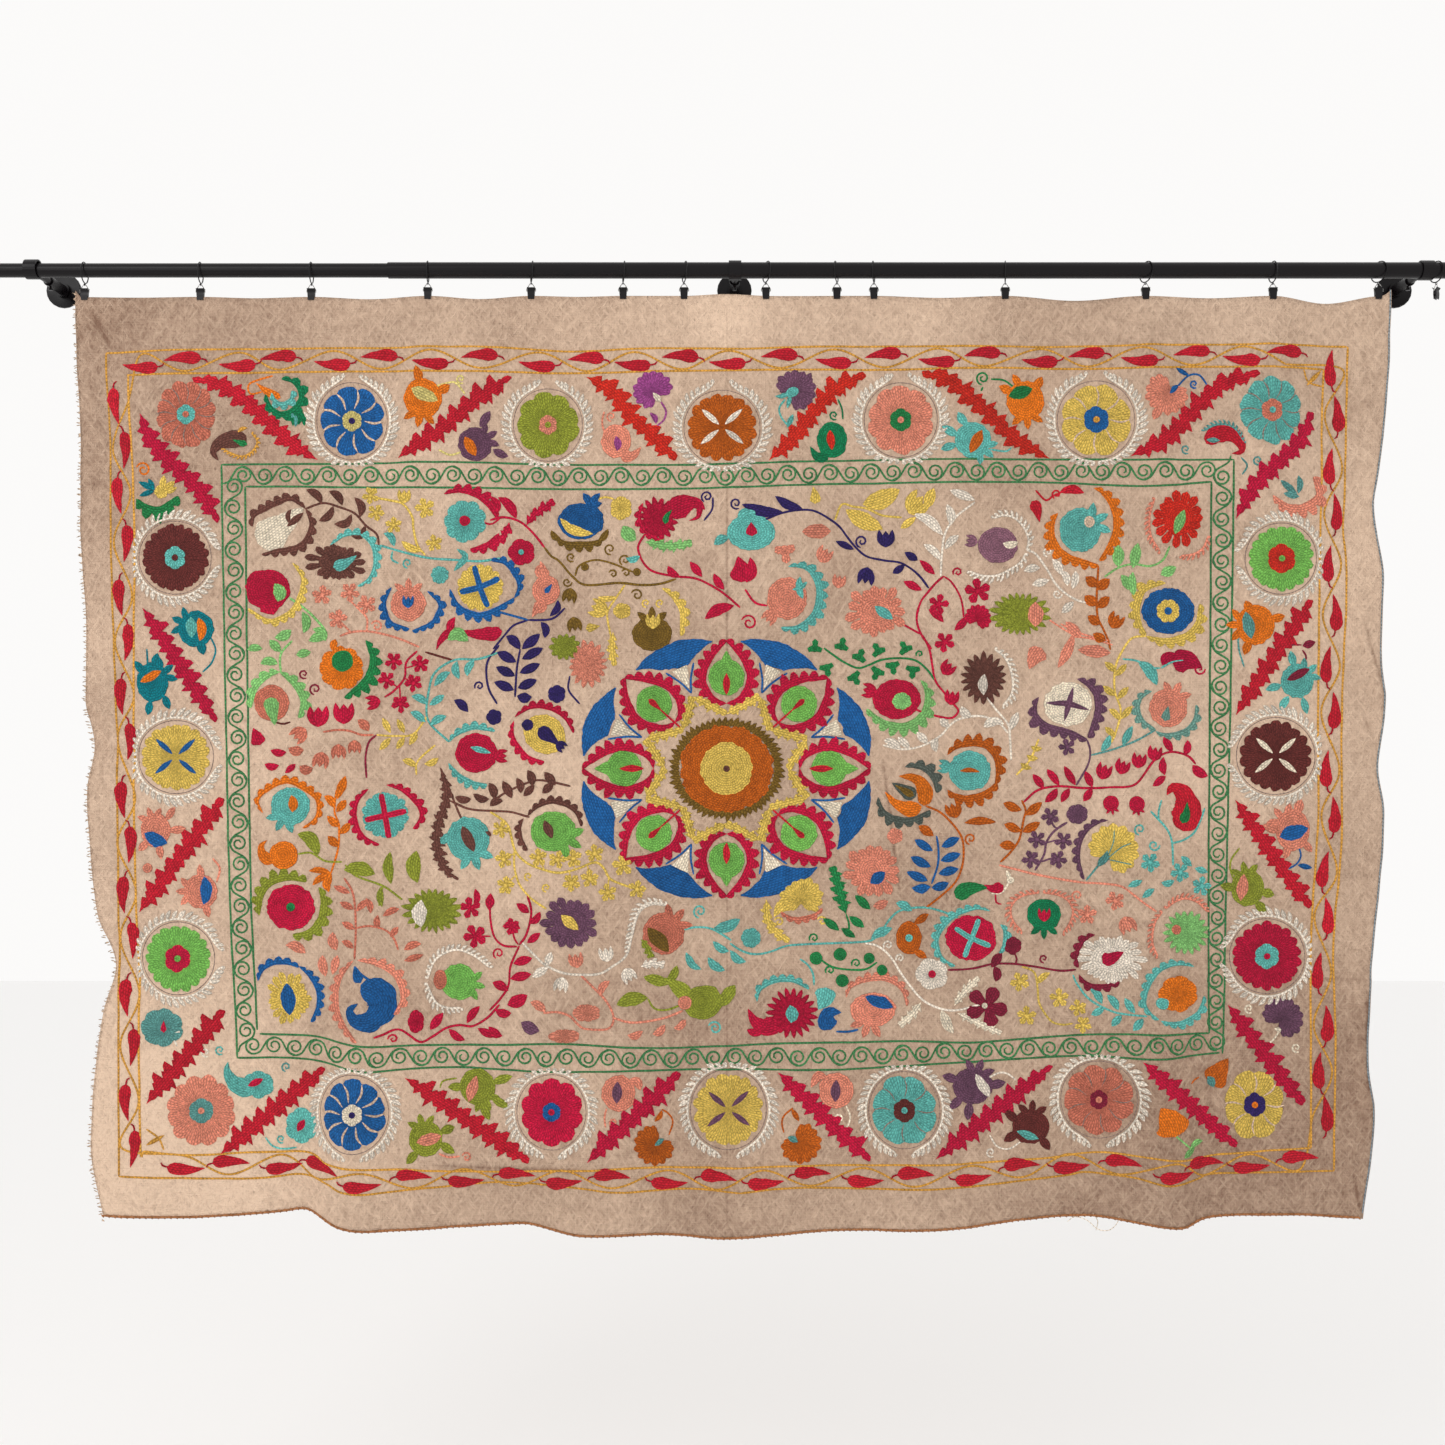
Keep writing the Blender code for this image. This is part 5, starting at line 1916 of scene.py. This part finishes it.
# %% Field, upper middle
UPPER_MIDDLE = """
navy
curl 6,60,1.4 736,504
thread 2.4 763,521 784,513 805,510 819,513 838,525 847,536 856,547 867,556 884,560 902,563 918,574 929,588
leaf 10 742,505 762,512 783,513
leaf 8 775,497 787,505 803,510
leaf 6 836,541 854,549
curl 6.5,100,1.4 862,541
tulip 14,270 886,547
tulip 14,100 868,567
leaf 7 905,552 918,560 / 893,573 905,565
turquoise
leaf 8 714,545 721,540 729,538
yellow
drop 11 815,504 815,495 813,487
thread 2.4 835,520 842,504 853,506 867,508 883,515 902,517
leaf 17 863,504 882,499 900,489
leaf 14 846,509 860,518 883,529
tulip 19,310 909,513
leaf 10 926,508 934,488
leaf 7 901,528 916,517
white
thread 2.4 941,576 942,556 945,534 956,517 975,502
leaf 9 914,513 930,521 943,535
leaf 7 924,544 933,550 941,560 / 959,535 951,541 945,549
leaf 8 947,504 951,514 951,525 / 950,490 975,500
salmon
leaf 13 802,532 831,531
ivy 11,90 785,553
tulip 13,-60 820,562
tulip 11,-80 838,588
crimson
drop 24 741,583 741,570 738,557
leaf 9 746,583 752,572 750,558
thread 2.4 745,590 755,603 767,606
curl 8,200,1.4 749,623
salmon
disc 20,21 787,599
tulip 12,130 775,611
turquoise
leaf+ 7 800,577 799,589 803,599
leaf+ 5 792,590 800,588 807,582
crescent 10 788,567 800,566 810,570 817,580 820,593 818,607 811,619 797,628 781,628
salmon
rays 31,25,15 877,611
turquoise
leaf++ 9 875,606 893,619
crimson
thread 2.3 901,623 921,634
thread 2.5 932,649 921,633 917,618 921,602 929,591 937,582 944,576
curl 5,150 958,572
thread 2.2 944,576 952,582 960,595 963,606 964,617
leaf 7 920,560 935,574 / 904,581 922,590 / 929,609 937,614 944,622 / 955,630 962,624 967,616
star 9.5 939,604 945,642
star 12 978,591
carnation 13,110 978,618
plum
disc 20,18 998,545
cream
leaf+ 8 1003,543 1010,545 1018,542
plum
tulip 10,190 978,542
white
comb 9 1027,550 1029,540 1024,527 1015,518 1004,515 994,518
comb 9 1026,553 1020,563 1001,574 991,576 980,575 970,571
thread 2.5 1027,550 1036,554 1048,571 1054,582 1062,591 1072,598 1082,602 1093,604
leaf 7 1024,571 1032,568 1040,568 / 1032,585 1049,580 / 1052,559 1058,566 1061,575
leaf 7 1061,571 1066,577 1067,586 / 1075,571 1075,580 1072,589 / 1061,613 1073,602
curl 5,100 1048,552
curl 5,0 1057,594
chili
drop 12 1032,501 1037,508 1040,522
thread 2.2 1036,490 1046,500 1053,496 1062,492
curl 5,120 1057,494
leaf 8 1060,492 1072,489 1084,493
turquoise
fruit 21,22,330 1080,530
beige
disc+ 5.5,6,0 1089,522
orange
crescent 10 1094,488 1105,494 1113,506 1117,520 1115,535 1109,548 1099,561
crescent 10 1058,513 1052,524 1052,538 1058,550 1068,558 1082,562 1098,566
rust
thread 2.5 1098,566 1097,580 1096,600 1097,617 1102,628 1107,639 1110,650
leaf 9 1085,577 1097,587 / 1109,579 1097,590 / 1084,596 1096,606 / 1109,597 1097,608 / 1087,616 1099,625
leaf 9 1092,634 1105,641
tulip 13,300 1111,628
"""
sew_table(UPPER_MIDDLE)
finish_piece("field_upper_middle")

# %% Field, lower middle
LOWER_MIDDLE = """
yellow
carnation 21,90 801,898
drop 12 785,903 778,910 774,917
dull_salmon
crescent 6 780,911 790,918 802,919 815,915 822,908
yellow
curl 5,200,1.2 779,922 822,921
spine 11 766,899 768,921 777,933 789,942
green
spine 13 846,914 833,866
leaf 8 855,895 870,909
leaf 7 823,918 839,930 / 849,916 864,927
leaf 6 841,928 855,937
curl 5,150 814,938
thread 2.2 846,914 849,926 846,936
salmon
rays 28,27,15 872,870
blue
leaf++ 10 870,883 885,872
salmon
lobed 8,8,5 895,836
leaf 8 873,906 880,905 888,901
blue
thread 2.3 937,836 939,850 938,866 932,884
leaf 8 942,847 960,838 / 941,861 961,854 / 939,874 959,869 / 932,888 940,887 949,883 / 915,840 933,851
leaf 8 911,857 931,867 / 907,872 928,881 / 912,888 920,889 931,887
rust
thread 2.4 926,806 940,812 952,823 961,835 964,847 963,865 956,882 942,896 926,908
leaf 8 919,826 934,836
tulip 13,250 957,818
curl 6,100 971,839
turquoise
thread 2.4 730,943 740,950 751,954 762,954 773,951 783,947 794,945 830,943 867,941 876,936 883,929 890,919
    899,911 913,908 928,908 943,912 958,918
leaf 8 871,938 881,932 892,928 / 896,903 904,905 912,911
lobed 10,10,7 751,938
rust
disc 13,17 909,938
turquoise
disc+ 4,4 909,938
rust
leaf 7 914,924 929,914 / 914,950 927,958
crimson
disc 25,23 971,938
turquoise
thread++ 6 955,928 971,938 990,946 / 979,919 964,957
crescent 7 990,911 978,908 965,911 953,917 943,926 937,938 938,951 944,960 955,966
crescent 6 1000,924 1005,932 1004,944 999,953
green
drop 16 956,898 968,889 989,887
crimson
drop 12 1003,885 994,889 984,885
cream
thread 2.4 991,893 1000,893 1006,887 1009,880
disc 4,3.5,0 1010,880
leaf 4 1006,870 1010,879
crimson
thread 2 995,891 996,902 1001,904
white
thread 2.4 865,943 876,945 885,951 893,960 899,970 911,987 924,1001 942,1009 958,1010 980,1004
curl 5,150 888,945
curl 4.5,150 900,958
cream
spine 9 921,1002 912,1014 899,1025
leaf 9 941,1010 946,1022 953,1033
spine 9 954,1006 964,992 979,978 / 957,1013 1000,1033
white
lobed 16,16,5 932,974
crimson
disc+ 4,4 932,974
maroon
star 19 986,1006
cream
disc++ 3,3,0 984,1005
turquoise
thread 2.4 800,959 808,965 813,974 814,985
drop 22 826,987 824,999 818,1009
crescent 7 757,1002 759,991 767,984 779,980 795,981 809,989
green
disc 6.5,6.5,0 816,958 840,954 842,980
disc 5.5,5.5,0 869,958 882,970
thread 2.2 819,958 831,966 846,969 865,969 877,962
curl 5,150 830,970 856,963
crimson
jagged 23,22 792,1013
turquoise
leaf+ 12 790,1005 792,1014 791,1023
crimson
drop 19 780,1022 766,1027 755,1022 748,1009
leaf 8 764,1028 755,1033 747,1030
blue
drop 20 831,1029 827,1020 831,1012 841,1012
thread 2.4 836,1031 848,1031 858,1029
salmon
fruit 23,17,110 873,1009
blue
leaf+ 12 865,996 893,1007
salmon
crescent 7 846,997 850,987 860,981 872,978 884,978 896,983 904,992 907,1006
"""
sew_table(LOWER_MIDDLE)
finish_piece("field_lower_middle")

# %% Field, upper right
UPPER_RIGHT = """
pale_green
leaf 11 1118,545 1118,567
leaf 8 1121,575 1126,582 1128,590
leaf 9 1138,543 1133,568
leaf 10 1161,575 1176,567
leaf 8 1133,572 1132,582 1134,596
thread 2.2 1104,577 1118,568 1133,564 1150,566 1163,560 1170,546
scarlet
rays 25,29,15 1179,518
pale_green
leaf++ 9 1184,510 1175,534
salmon
comb 8 1155,498 1150,515 1151,535 1160,551 / 1208,536 1203,548 1194,554 1181,556
olive
jagged 28,19 1020,614
salmon
leaf+ 15 1035,602 1035,627
leaf 9 1065,622 1080,637
thread 2 1060,624 1078,633 1095,638 1110,641
blue
disc 26,23 1168,611
yellow
lobed+ 12,12,8 1168,611
blue
disc++ 4,4 1168,611
yellow
crescent 10 1166,583 1153,585 1143,590 1138,600 1136,611 1139,624 1146,635
crescent 10 1146,636 1158,640 1170,641 1183,638 1193,631 1199,620 1200,604
green
thread 2.3 824,648 832,654 844,662 858,668 869,665 881,660 897,658 915,660 927,669 936,681
ivy 8,270 815,647 842,645 860,656 878,650 905,648
ivy 8,90 827,669 855,678 877,673 893,667 913,671
curl 4,150,1.2 920,654
crimson
disc 24,20 897,699
tulip 12,190 877,692
pale_green
lobed+ 10,9,7 902,701
crescent 11 921,680 927,690 928,702 925,713 916,722 903,727 889,725 877,719 867,709
crimson
thread 2.4 913,708 925,713 937,716 952,718 959,711 955,705 945,693 936,681 933,667 930,650 923,635
tulip 12,310 943,674
tulip 12,280 951,705
white
thread 2.4 883,745 899,749 915,748 929,743 942,735 950,726 960,719 980,716 998,722 1008,733
leaf 8 884,740 893,743 901,749 / 962,706 965,713 972,717 / 984,727 992,722 1000,722
leaf 7 898,737 910,748 / 917,732 928,743 / 937,752 935,745 938,738 / 940,719 950,727
orange
drop 17 924,806 925,790 916,779 899,776
drop 15 922,807 908,809 895,803 885,792
slate
drop 15 916,797 892,783
bronze
drop+ 8 914,796 895,785
slate
crescent 9 905,767 917,766 928,770 935,779 938,793 / 878,797 882,810 892,818 905,821 918,818 931,811
turquoise
disc 21,20 970,771
tulip 11,190 952,768
rust
leaf+ 5 960,771 970,770 980,772
crescent 10 948,755 955,748 965,744 977,743 988,746 996,755 999,768 996,784
crescent 10 948,790 955,796 966,799 979,797 989,792 997,783
brown
jagged 20,24 984,678
white
leaf+ 9 985,674 983,684 984,695
comb 9 995,649 1004,656 1010,667 1013,683 1011,695 1003,706
thread 2.3 987,696 995,708 1008,724 1010,738 1011,760
leaf 7 987,722 996,721 1004,724 / 1018,712 1010,730
salmon
drop 20 1041,648 1034,658 1029,669
leaf 9 1073,634 1067,650 1057,668
thread 2 1049,620 1064,630 1077,637
leaf 11 1077,650 1110,653
thread 2 1073,637 1092,639 1112,645
cream
disc 24,22 1067,704
mauve
leaf+ 6 1072,687 1063,721 / 1045,703 1067,704 1088,710
crescent 10 1038,697 1034,707 1035,717 1042,725 1053,729 1069,733 1086,740
crescent 11 1076,679 1087,684 1095,692 1098,705 1095,720 1087,738
thread 2.4 1086,740 1089,751 1087,764 1075,785
star 8 1066,747
yellow
thread 2.4 1146,636 1132,638 1123,649 1115,667 1114,691 1120,710 1116,730 1110,743
leaf 6 1104,662 1116,672 / 1126,664 1115,676 / 1102,686 1114,696 / 1128,687 1117,699
leaf 6 1108,709 1114,713 1119,720 / 1132,706 1120,719 / 1104,727 1115,737
turquoise
leaf 10 1138,661 1150,671 1157,685
thread 2.2 1122,659 1137,661 1150,668 1160,668
thread+ 2 1161,668 1172,662 1185,660
grey_teal
thread 2.2 1155,730 1135,741 1110,750 1090,755
turquoise
leaf 7 1100,751 1106,743 1109,735 / 1122,745 1132,726
magenta
drop 25 1172,662 1188,661 1202,668
leaf 10 1162,665 1167,658 1175,653
curl 6,0 1199,669
"""
sew_table(UPPER_RIGHT)
finish_piece("field_upper_right")

# %% Field, lower right
LOWER_RIGHT = """
salmon
fruit 19,19,295 1168,708
grey_green
drop+ 10 1164,721 1168,706
crescent 7 1152,691 1141,697 1137,708 1142,721 1155,730
crescent 7 1155,731 1165,735 1177,734 1188,729 1195,719 1196,705
crimson
thread 2.5 1023,802 1037,790 1058,786 1085,788 1113,787 1124,787 1133,785 1140,779 1152,762 1161,755
    1170,752 1180,753 1189,757 1195,764
leaf 7 1032,774 1043,788 / 1046,769 1058,785 / 1063,766 1074,785 / 1084,771 1091,787
tulip 13,290 1100,779
tulip 12,290 1119,774
tulip 12,280 1137,768 1153,761
leaf 7 1163,737 1172,752 / 1187,740 1187,748 1184,755 / 1164,775 1162,766 1163,757
leaf 9 1192,765 1199,773 1207,776
leaf 7 1152,786 1165,776 / 1044,802 1051,796 1056,788 / 1060,802 1068,788 / 1082,801 1091,788
fruit 8,8,80 1110,803 1136,804
yellow
thread 2.2 1038,739 1029,760 1016,775
leaf 5 1041,748 1035,749 1030,746 / 1037,758 1031,758 1026,755 / 1031,768 1025,767 1020,763
rust
thread 2.4 1021,800 1025,810 1023,819 1021,830 1018,841 1010,852 1000,862
leaf 8 1003,803 1021,810 / 1041,802 1025,815 / 1004,824 1021,831 / 1039,822 1022,832 / 999,845 1015,845
leaf 7 965,823 980,821 996,822
mauve
thread 2.4 1034,870 1043,854 1045,843 1050,834 1056,828 1066,822
star 8.5 1049,816 1036,839 1062,840 1030,859 1057,859
lobed 11,10,7 1076,814
thread 2 1049,816 1052,825 1056,828
thread 1.8 1036,839 1045,842 1054,840 1062,840 / 1030,859 1040,861 1050,858 1057,859
yellow
carnation 25,125 1112,850
grey_teal
thread++ 1.2 1106,856 1112,842 1113,830 / 1107,857 1120,847 1130,843 / 1107,859 1130,864
leaf+ 7 1106,850 1103,858 1096,866
thread 2.2 1098,864 1085,880
mauve
crescent 7 1107,820 1097,822 1088,827 1081,835 1077,846 1077,860 1083,879
chili
drop 31 1182,831 1186,812 1183,795 1172,788 1166,795
green
drop+ 11 1181,823 1185,813 1186,802
turquoise
thread 2.4 1172,865 1171,843 1166,829 1150,811
thread 2.2 1158,820 1158,811 1161,800
thread 2.4 1171,843 1182,840 1193,833 1199,822 1204,808
curl 6,100 1139,829
curl 6,0 1153,845
star 9 1149,862 1179,872 1201,886
leaf 6 1160,882 1166,883 1173,880 / 1141,897 1153,888 / 1127,886 1141,880 / 1180,856 1191,866
leaf 6 1194,868 1207,872
emerald
fruit 17,16,90 1043,914
crimson
tulip+ 11,270 1043,921
salmon
comb 8 1038,892 1026,894 1016,899 1010,908 1012,920 1021,931
comb 8 1042,892 1056,894 1067,900 1072,911 1069,922 1062,932
thread 2.5 999,865 1015,869 1031,873 1056,878 1082,882 1101,883 1120,886 1132,894 1142,902 1155,911
star 9 1114,900 1086,914
tulip 14,70 1123,916
curl 6,100 1076,895
pale_green
jagged 21,20 1185,932
dull_salmon
disc+ 5,5 1175,929
salmon
comb 8 1161,911 1154,921 1151,932 1151,944 1156,955 / 1164,908 1174,901 1185,898 1197,902 1206,911
white
rays 35,24,22 1110,958
magenta
drop++ 15 1101,962 1122,951
maroon
crescent 7 1094,934 1084,938 1078,946 1075,956 1077,967 / 1078,974 1084,982 1094,986 1106,985 1118,981
thread 2.4 948,970 970,969 991,964 1006,963 1021,964 1040,967 1059,970 1075,969
lobed 9,9,6 1012,945
thread 2 1014,953 1016,959 1014,964
leaf 8 1001,952 991,967 / 994,966 997,973 995,981
curl 4.5,90,1.2 1043,958
yellow
thread 2.3 1021,966 1030,969 1035,975 1037,990 1039,1004 1050,1020 1061,1024 1072,1023
star 9 1019,981 1058,997 1026,1015
star 8 1077,1007 1082,1024
leaf 6 1036,983 1042,976 1049,972
turquoise
thread 2.3 1072,974 1076,983 1089,999 1110,1010 1123,1013 1145,1015
leaf 7 1089,988 1096,993 1101,1003 / 1106,994 1112,1000 1117,1009 / 1123,997 1133,1012
leaf 7 1090,1014 1103,1007 / 1110,1025 1120,1014 / 1131,1029 1141,1017
orange
lobed 20,18,7 1177,993
turquoise
disc 7,6 1161,1002
crescent 7 1193,966 1178,963 1164,966 1153,974 1146,985 1142,1001 1147,1011 1156,1018
crescent 7 1158,1019 1168,1022 1179,1022 1190,1018 1200,1010 1204,996
"""
sew_table(LOWER_RIGHT)
finish_piece("field_lower_right")

# %% [markdown]
# The middle of the cloth is a large round medallion: a sun, a star of eight points, eight pomegranates in
# toothed red outlines, and eight blue fans between them.

# %% Medallion
MEDALLION = complex(726.5, 768.5)
MEDALLION_STRETCH_ACROSS = 1.09
MEDALLION_STRETCH_DOWN = 0.97


def medallion_place(turn, radius):
    """A place in the medallion, which is a little wider than it is high."""
    away = toward(turn) * radius
    return MEDALLION + complex(away.real * MEDALLION_STRETCH_ACROSS, away.imag * MEDALLION_STRETCH_DOWN)


def sew_fan(turn):
    """One blue fan: a fat crescent, the white wedge under it and two lines that meet below."""
    path = curve_through([medallion_place(turn + 16.8 * t, 131) for t in np.linspace(-1, 1, 9)])
    t = np.linspace(-1, 1, len(path))
    scallops = 0.6 * np.abs(np.sin(t * 4.5 * math.pi))
    outer = 0.4 + 7.0 * (1 - t * t) + scallops
    inner = 0.4 + 18.5 * np.minimum(1.0, (1 - np.abs(t)) / 0.74) ** 1.25
    lay_stroke(path, outer, inner, "blue", 1)
    wedge = curve_through([medallion_place(turn, 112), medallion_place(turn, 90)])
    half = np.linspace(9.0, 0.5, len(wedge))
    lay_stroke(wedge, half, half, "cream", 1)
    for side in (-1, 1):
        top = medallion_place(turn + side * 7, 113)
        bend = medallion_place(turn + side * 3, 98)
        sew_thread("blue", 2.2, [top, bend, medallion_place(turn, 84)])


def sew_lens(turn, upright):
    """One pomegranate in its toothed red outline. Those on the axes have a feathery crown."""
    for side in (-1, 1):
        outline = [medallion_place(turn, 67)]
        for spread, radius in ((9, 72), (13.5, 86), (12.5, 101), (6.5, 118)):
            outline.append(medallion_place(turn + side * spread, radius))
        outline.append(medallion_place(turn, 132))
        sew_crescent("crimson", 10.5, outline)
    sew_disc("lime", 18, 18, 0, medallion_place(turn, 94))
    if upright:
        sew_drop("lime", 13, [medallion_place(turn, 104), medallion_place(turn, 121)])
        core = [medallion_place(turn, radius) for radius in (76, 87, 98)]
        sew_leaf("chili", 7.0, core, 2)
        return
    sew_drop("chili", 7.0, [medallion_place(turn, 101), medallion_place(turn, 84)], 2)
    sew_thread("chili", 1.9, [medallion_place(turn, 86), medallion_place(turn, 60)], 2)


def sew_medallion():
    """The medallion, from its rim to its middle."""
    for k in range(8):
        sew_fan(22.5 + 45 * k)
        sew_lens(45 * k, k % 2 == 0)
    star = []
    for k in range(8):
        star.append(medallion_place(45 * k, 56))
        star.append(medallion_place(22.5 + 45 * k, 80))
    for start, end in zip(star, star[1:] + star[:1]):
        sew_spine("yellow", 11.0, [start, end])
    for turn in np.arange(0, 360, 6.2):
        inner = medallion_place(turn, 43)
        sew_drop("bronze", 8.0, [inner, medallion_place(turn + 3, chance.uniform(52, 55))])
    sew_disc("rust", 46.5, 43.5, 0, MEDALLION, 2)
    sew_disc("yellow", 26.5, 27, 0, MEDALLION, 3)
    sew_disc("brown", 3.2, 3.4, 0, MEDALLION, 4)


sew_medallion()
finish_piece("medallion")

# %% [markdown]
# The foot of the sheet is rolled and whipped with brown yarn. The left edge is cut and frays, the right
# edge is the selvedge of the cloth with its grey-blue end threads, and one white thread hangs loose.

# %% Hem and loose threads
LOOSE_THREAD = """
white
thread 0.9 1067,1221 1074,1216 1086,1219 1097,1228 1108,1229 1116,1222 1118,1215
cream
thread 0.8 1092,1212 1097,1220 1095,1229
"""


def edge_places(rows, upright, inset):
    """Places along an edge of the sheet, moved in from it by some pixels."""
    at = np.arange(rows[0][0], rows[-1][0], 6.0)
    beside = smooth_through(rows, at)
    return (beside + inset) + 1j * at if upright else at + 1j * (beside + inset)


sew_thread("hem", 2.6, edge_places(BOTTOM_EDGE, False, -1.0))
for place in edge_places(BOTTOM_EDGE, False, -1.0):
    sew_leaf("hem", 1.8, [place - 2.0 - 1.6j, place + 1.0 + 1.8j])
sew_thread("selvedge", 1.6, edge_places(RIGHT_EDGE, True, -1.2))
for place in edge_places(LEFT_EDGE, True, 1.5):
    for _ in range(2):
        start = place + 1j * chance.uniform(0, 6)
        end = start - chance.uniform(2.5, 5.5) + 1j * chance.uniform(-2.5, 2.5)
        sew_leaf("fray", 1.0, [start, end])
sew_table(LOOSE_THREAD)
finish_piece("hem_and_fringe")

# %% [markdown]
# The rod, brackets, rings and clips keep their CAD shapes. The rod and its brackets are painted satin
# black, the rings and clips are a little shinier, and the small bails between them are bright wire.


# %% Metal
def make_metal(name, colour, metallic, roughness, gloss, grain):
    """A plain metal or paint with a faint uneven sheen."""
    made, tree, shader = new_material(name)
    place = add_node(tree, "ShaderNodeTexCoord").outputs["Object"]
    cloudy = add_noise(tree, place, grain)
    spread = add_math(tree, "MULTIPLY", add_math(tree, "SUBTRACT", cloudy, 0.5), 0.25)
    tree.links.new(add_math(tree, "ADD", spread, roughness), shader.inputs["Roughness"])
    shader.inputs["Base Color"].default_value = (*to_linear(colour), 1)
    shader.inputs["Metallic"].default_value = metallic
    shader.inputs["Specular IOR Level"].default_value = gloss
    return made


black_paint = make_metal("satin black paint", (9, 5, 8), 0.0, 0.32, 0.22, 40.0)
black_wire = make_metal("black wire", (20, 18, 20), 0.3, 0.36, 0.3, 120.0)
bright_wire = make_metal("bright wire", (190, 188, 184), 1.0, 0.28, 0.5, 120.0)
for name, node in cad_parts.items():
    node.data.materials.clear()
    if name.startswith("bail"):
        node.data.materials.append(bright_wire)
    elif name.startswith(("ring", "clip")):
        node.data.materials.append(black_wire)
    else:
        node.data.materials.append(black_paint)
print("Painted nodes:", len(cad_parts))

# %% [markdown]
# The sheet and every piece of its needlework are separate meshes, all attached to the root.

# %% [markdown]
# The camera stands where the photo's stood: level with the middle of the picture and 2.4 m from the cloth.
# One large window lamp at the left gives the soft shade, and pale air all round gives the rest.

# %% Camera, light and floor
CAMERA_PLACE = (-0.020, -2.50, -0.724)
LENS_MM = 37.1
PALE_AIR = (1.0, 0.99, 0.98, 1)
AIR_STRENGTH = 0.97
CLOTH_MIDDLE = (0.0, -0.115, -0.8)
WINDOW_PLACE = (-1.9, -2.6, 0.9)
WINDOW_SIZE = 1.4
WINDOW_POWER = 22
FLOOR_HEIGHT = -2.2
FLOOR_SIZE = 12
FLOOR_COLOUR = (0.93, 0.925, 0.92, 1)

bpy.ops.object.camera_add(location=CAMERA_PLACE, rotation=(math.radians(90), 0, 0))
camera = bpy.context.object
camera.data.sensor_width = 36
camera.data.lens = LENS_MM
bpy.context.scene.camera = camera

world = bpy.data.worlds.new("pale room")
bpy.context.scene.world = world
world.use_nodes = True
world.node_tree.nodes["Background"].inputs["Color"].default_value = PALE_AIR
world.node_tree.nodes["Background"].inputs["Strength"].default_value = AIR_STRENGTH


def add_area_light(name, location, target, size, power):
    """A soft square lamp that looks at a point."""
    bpy.ops.object.light_add(type="AREA", location=location)
    lamp = bpy.context.object
    lamp.name = name
    lamp.data.size = size
    lamp.data.energy = power
    away = np.array(location) - np.array(target)
    tilt = math.atan2(math.hypot(away[0], away[1]), away[2])
    lamp.rotation_euler = (tilt, 0, math.atan2(away[0], -away[1]))
    return lamp


add_area_light("window", WINDOW_PLACE, CLOTH_MIDDLE, WINDOW_SIZE, WINDOW_POWER)
bpy.ops.mesh.primitive_plane_add(size=FLOOR_SIZE, location=(0, 0, FLOOR_HEIGHT))
floor = bpy.context.object
floor.name = "floor"
pale, _, pale_shader = new_material("pale floor")
pale_shader.inputs["Base Color"].default_value = FLOOR_COLOUR
floor.data.materials.append(pale)
bpy.context.scene.view_settings.view_transform = "Standard"
print("Camera at", tuple(camera.location))
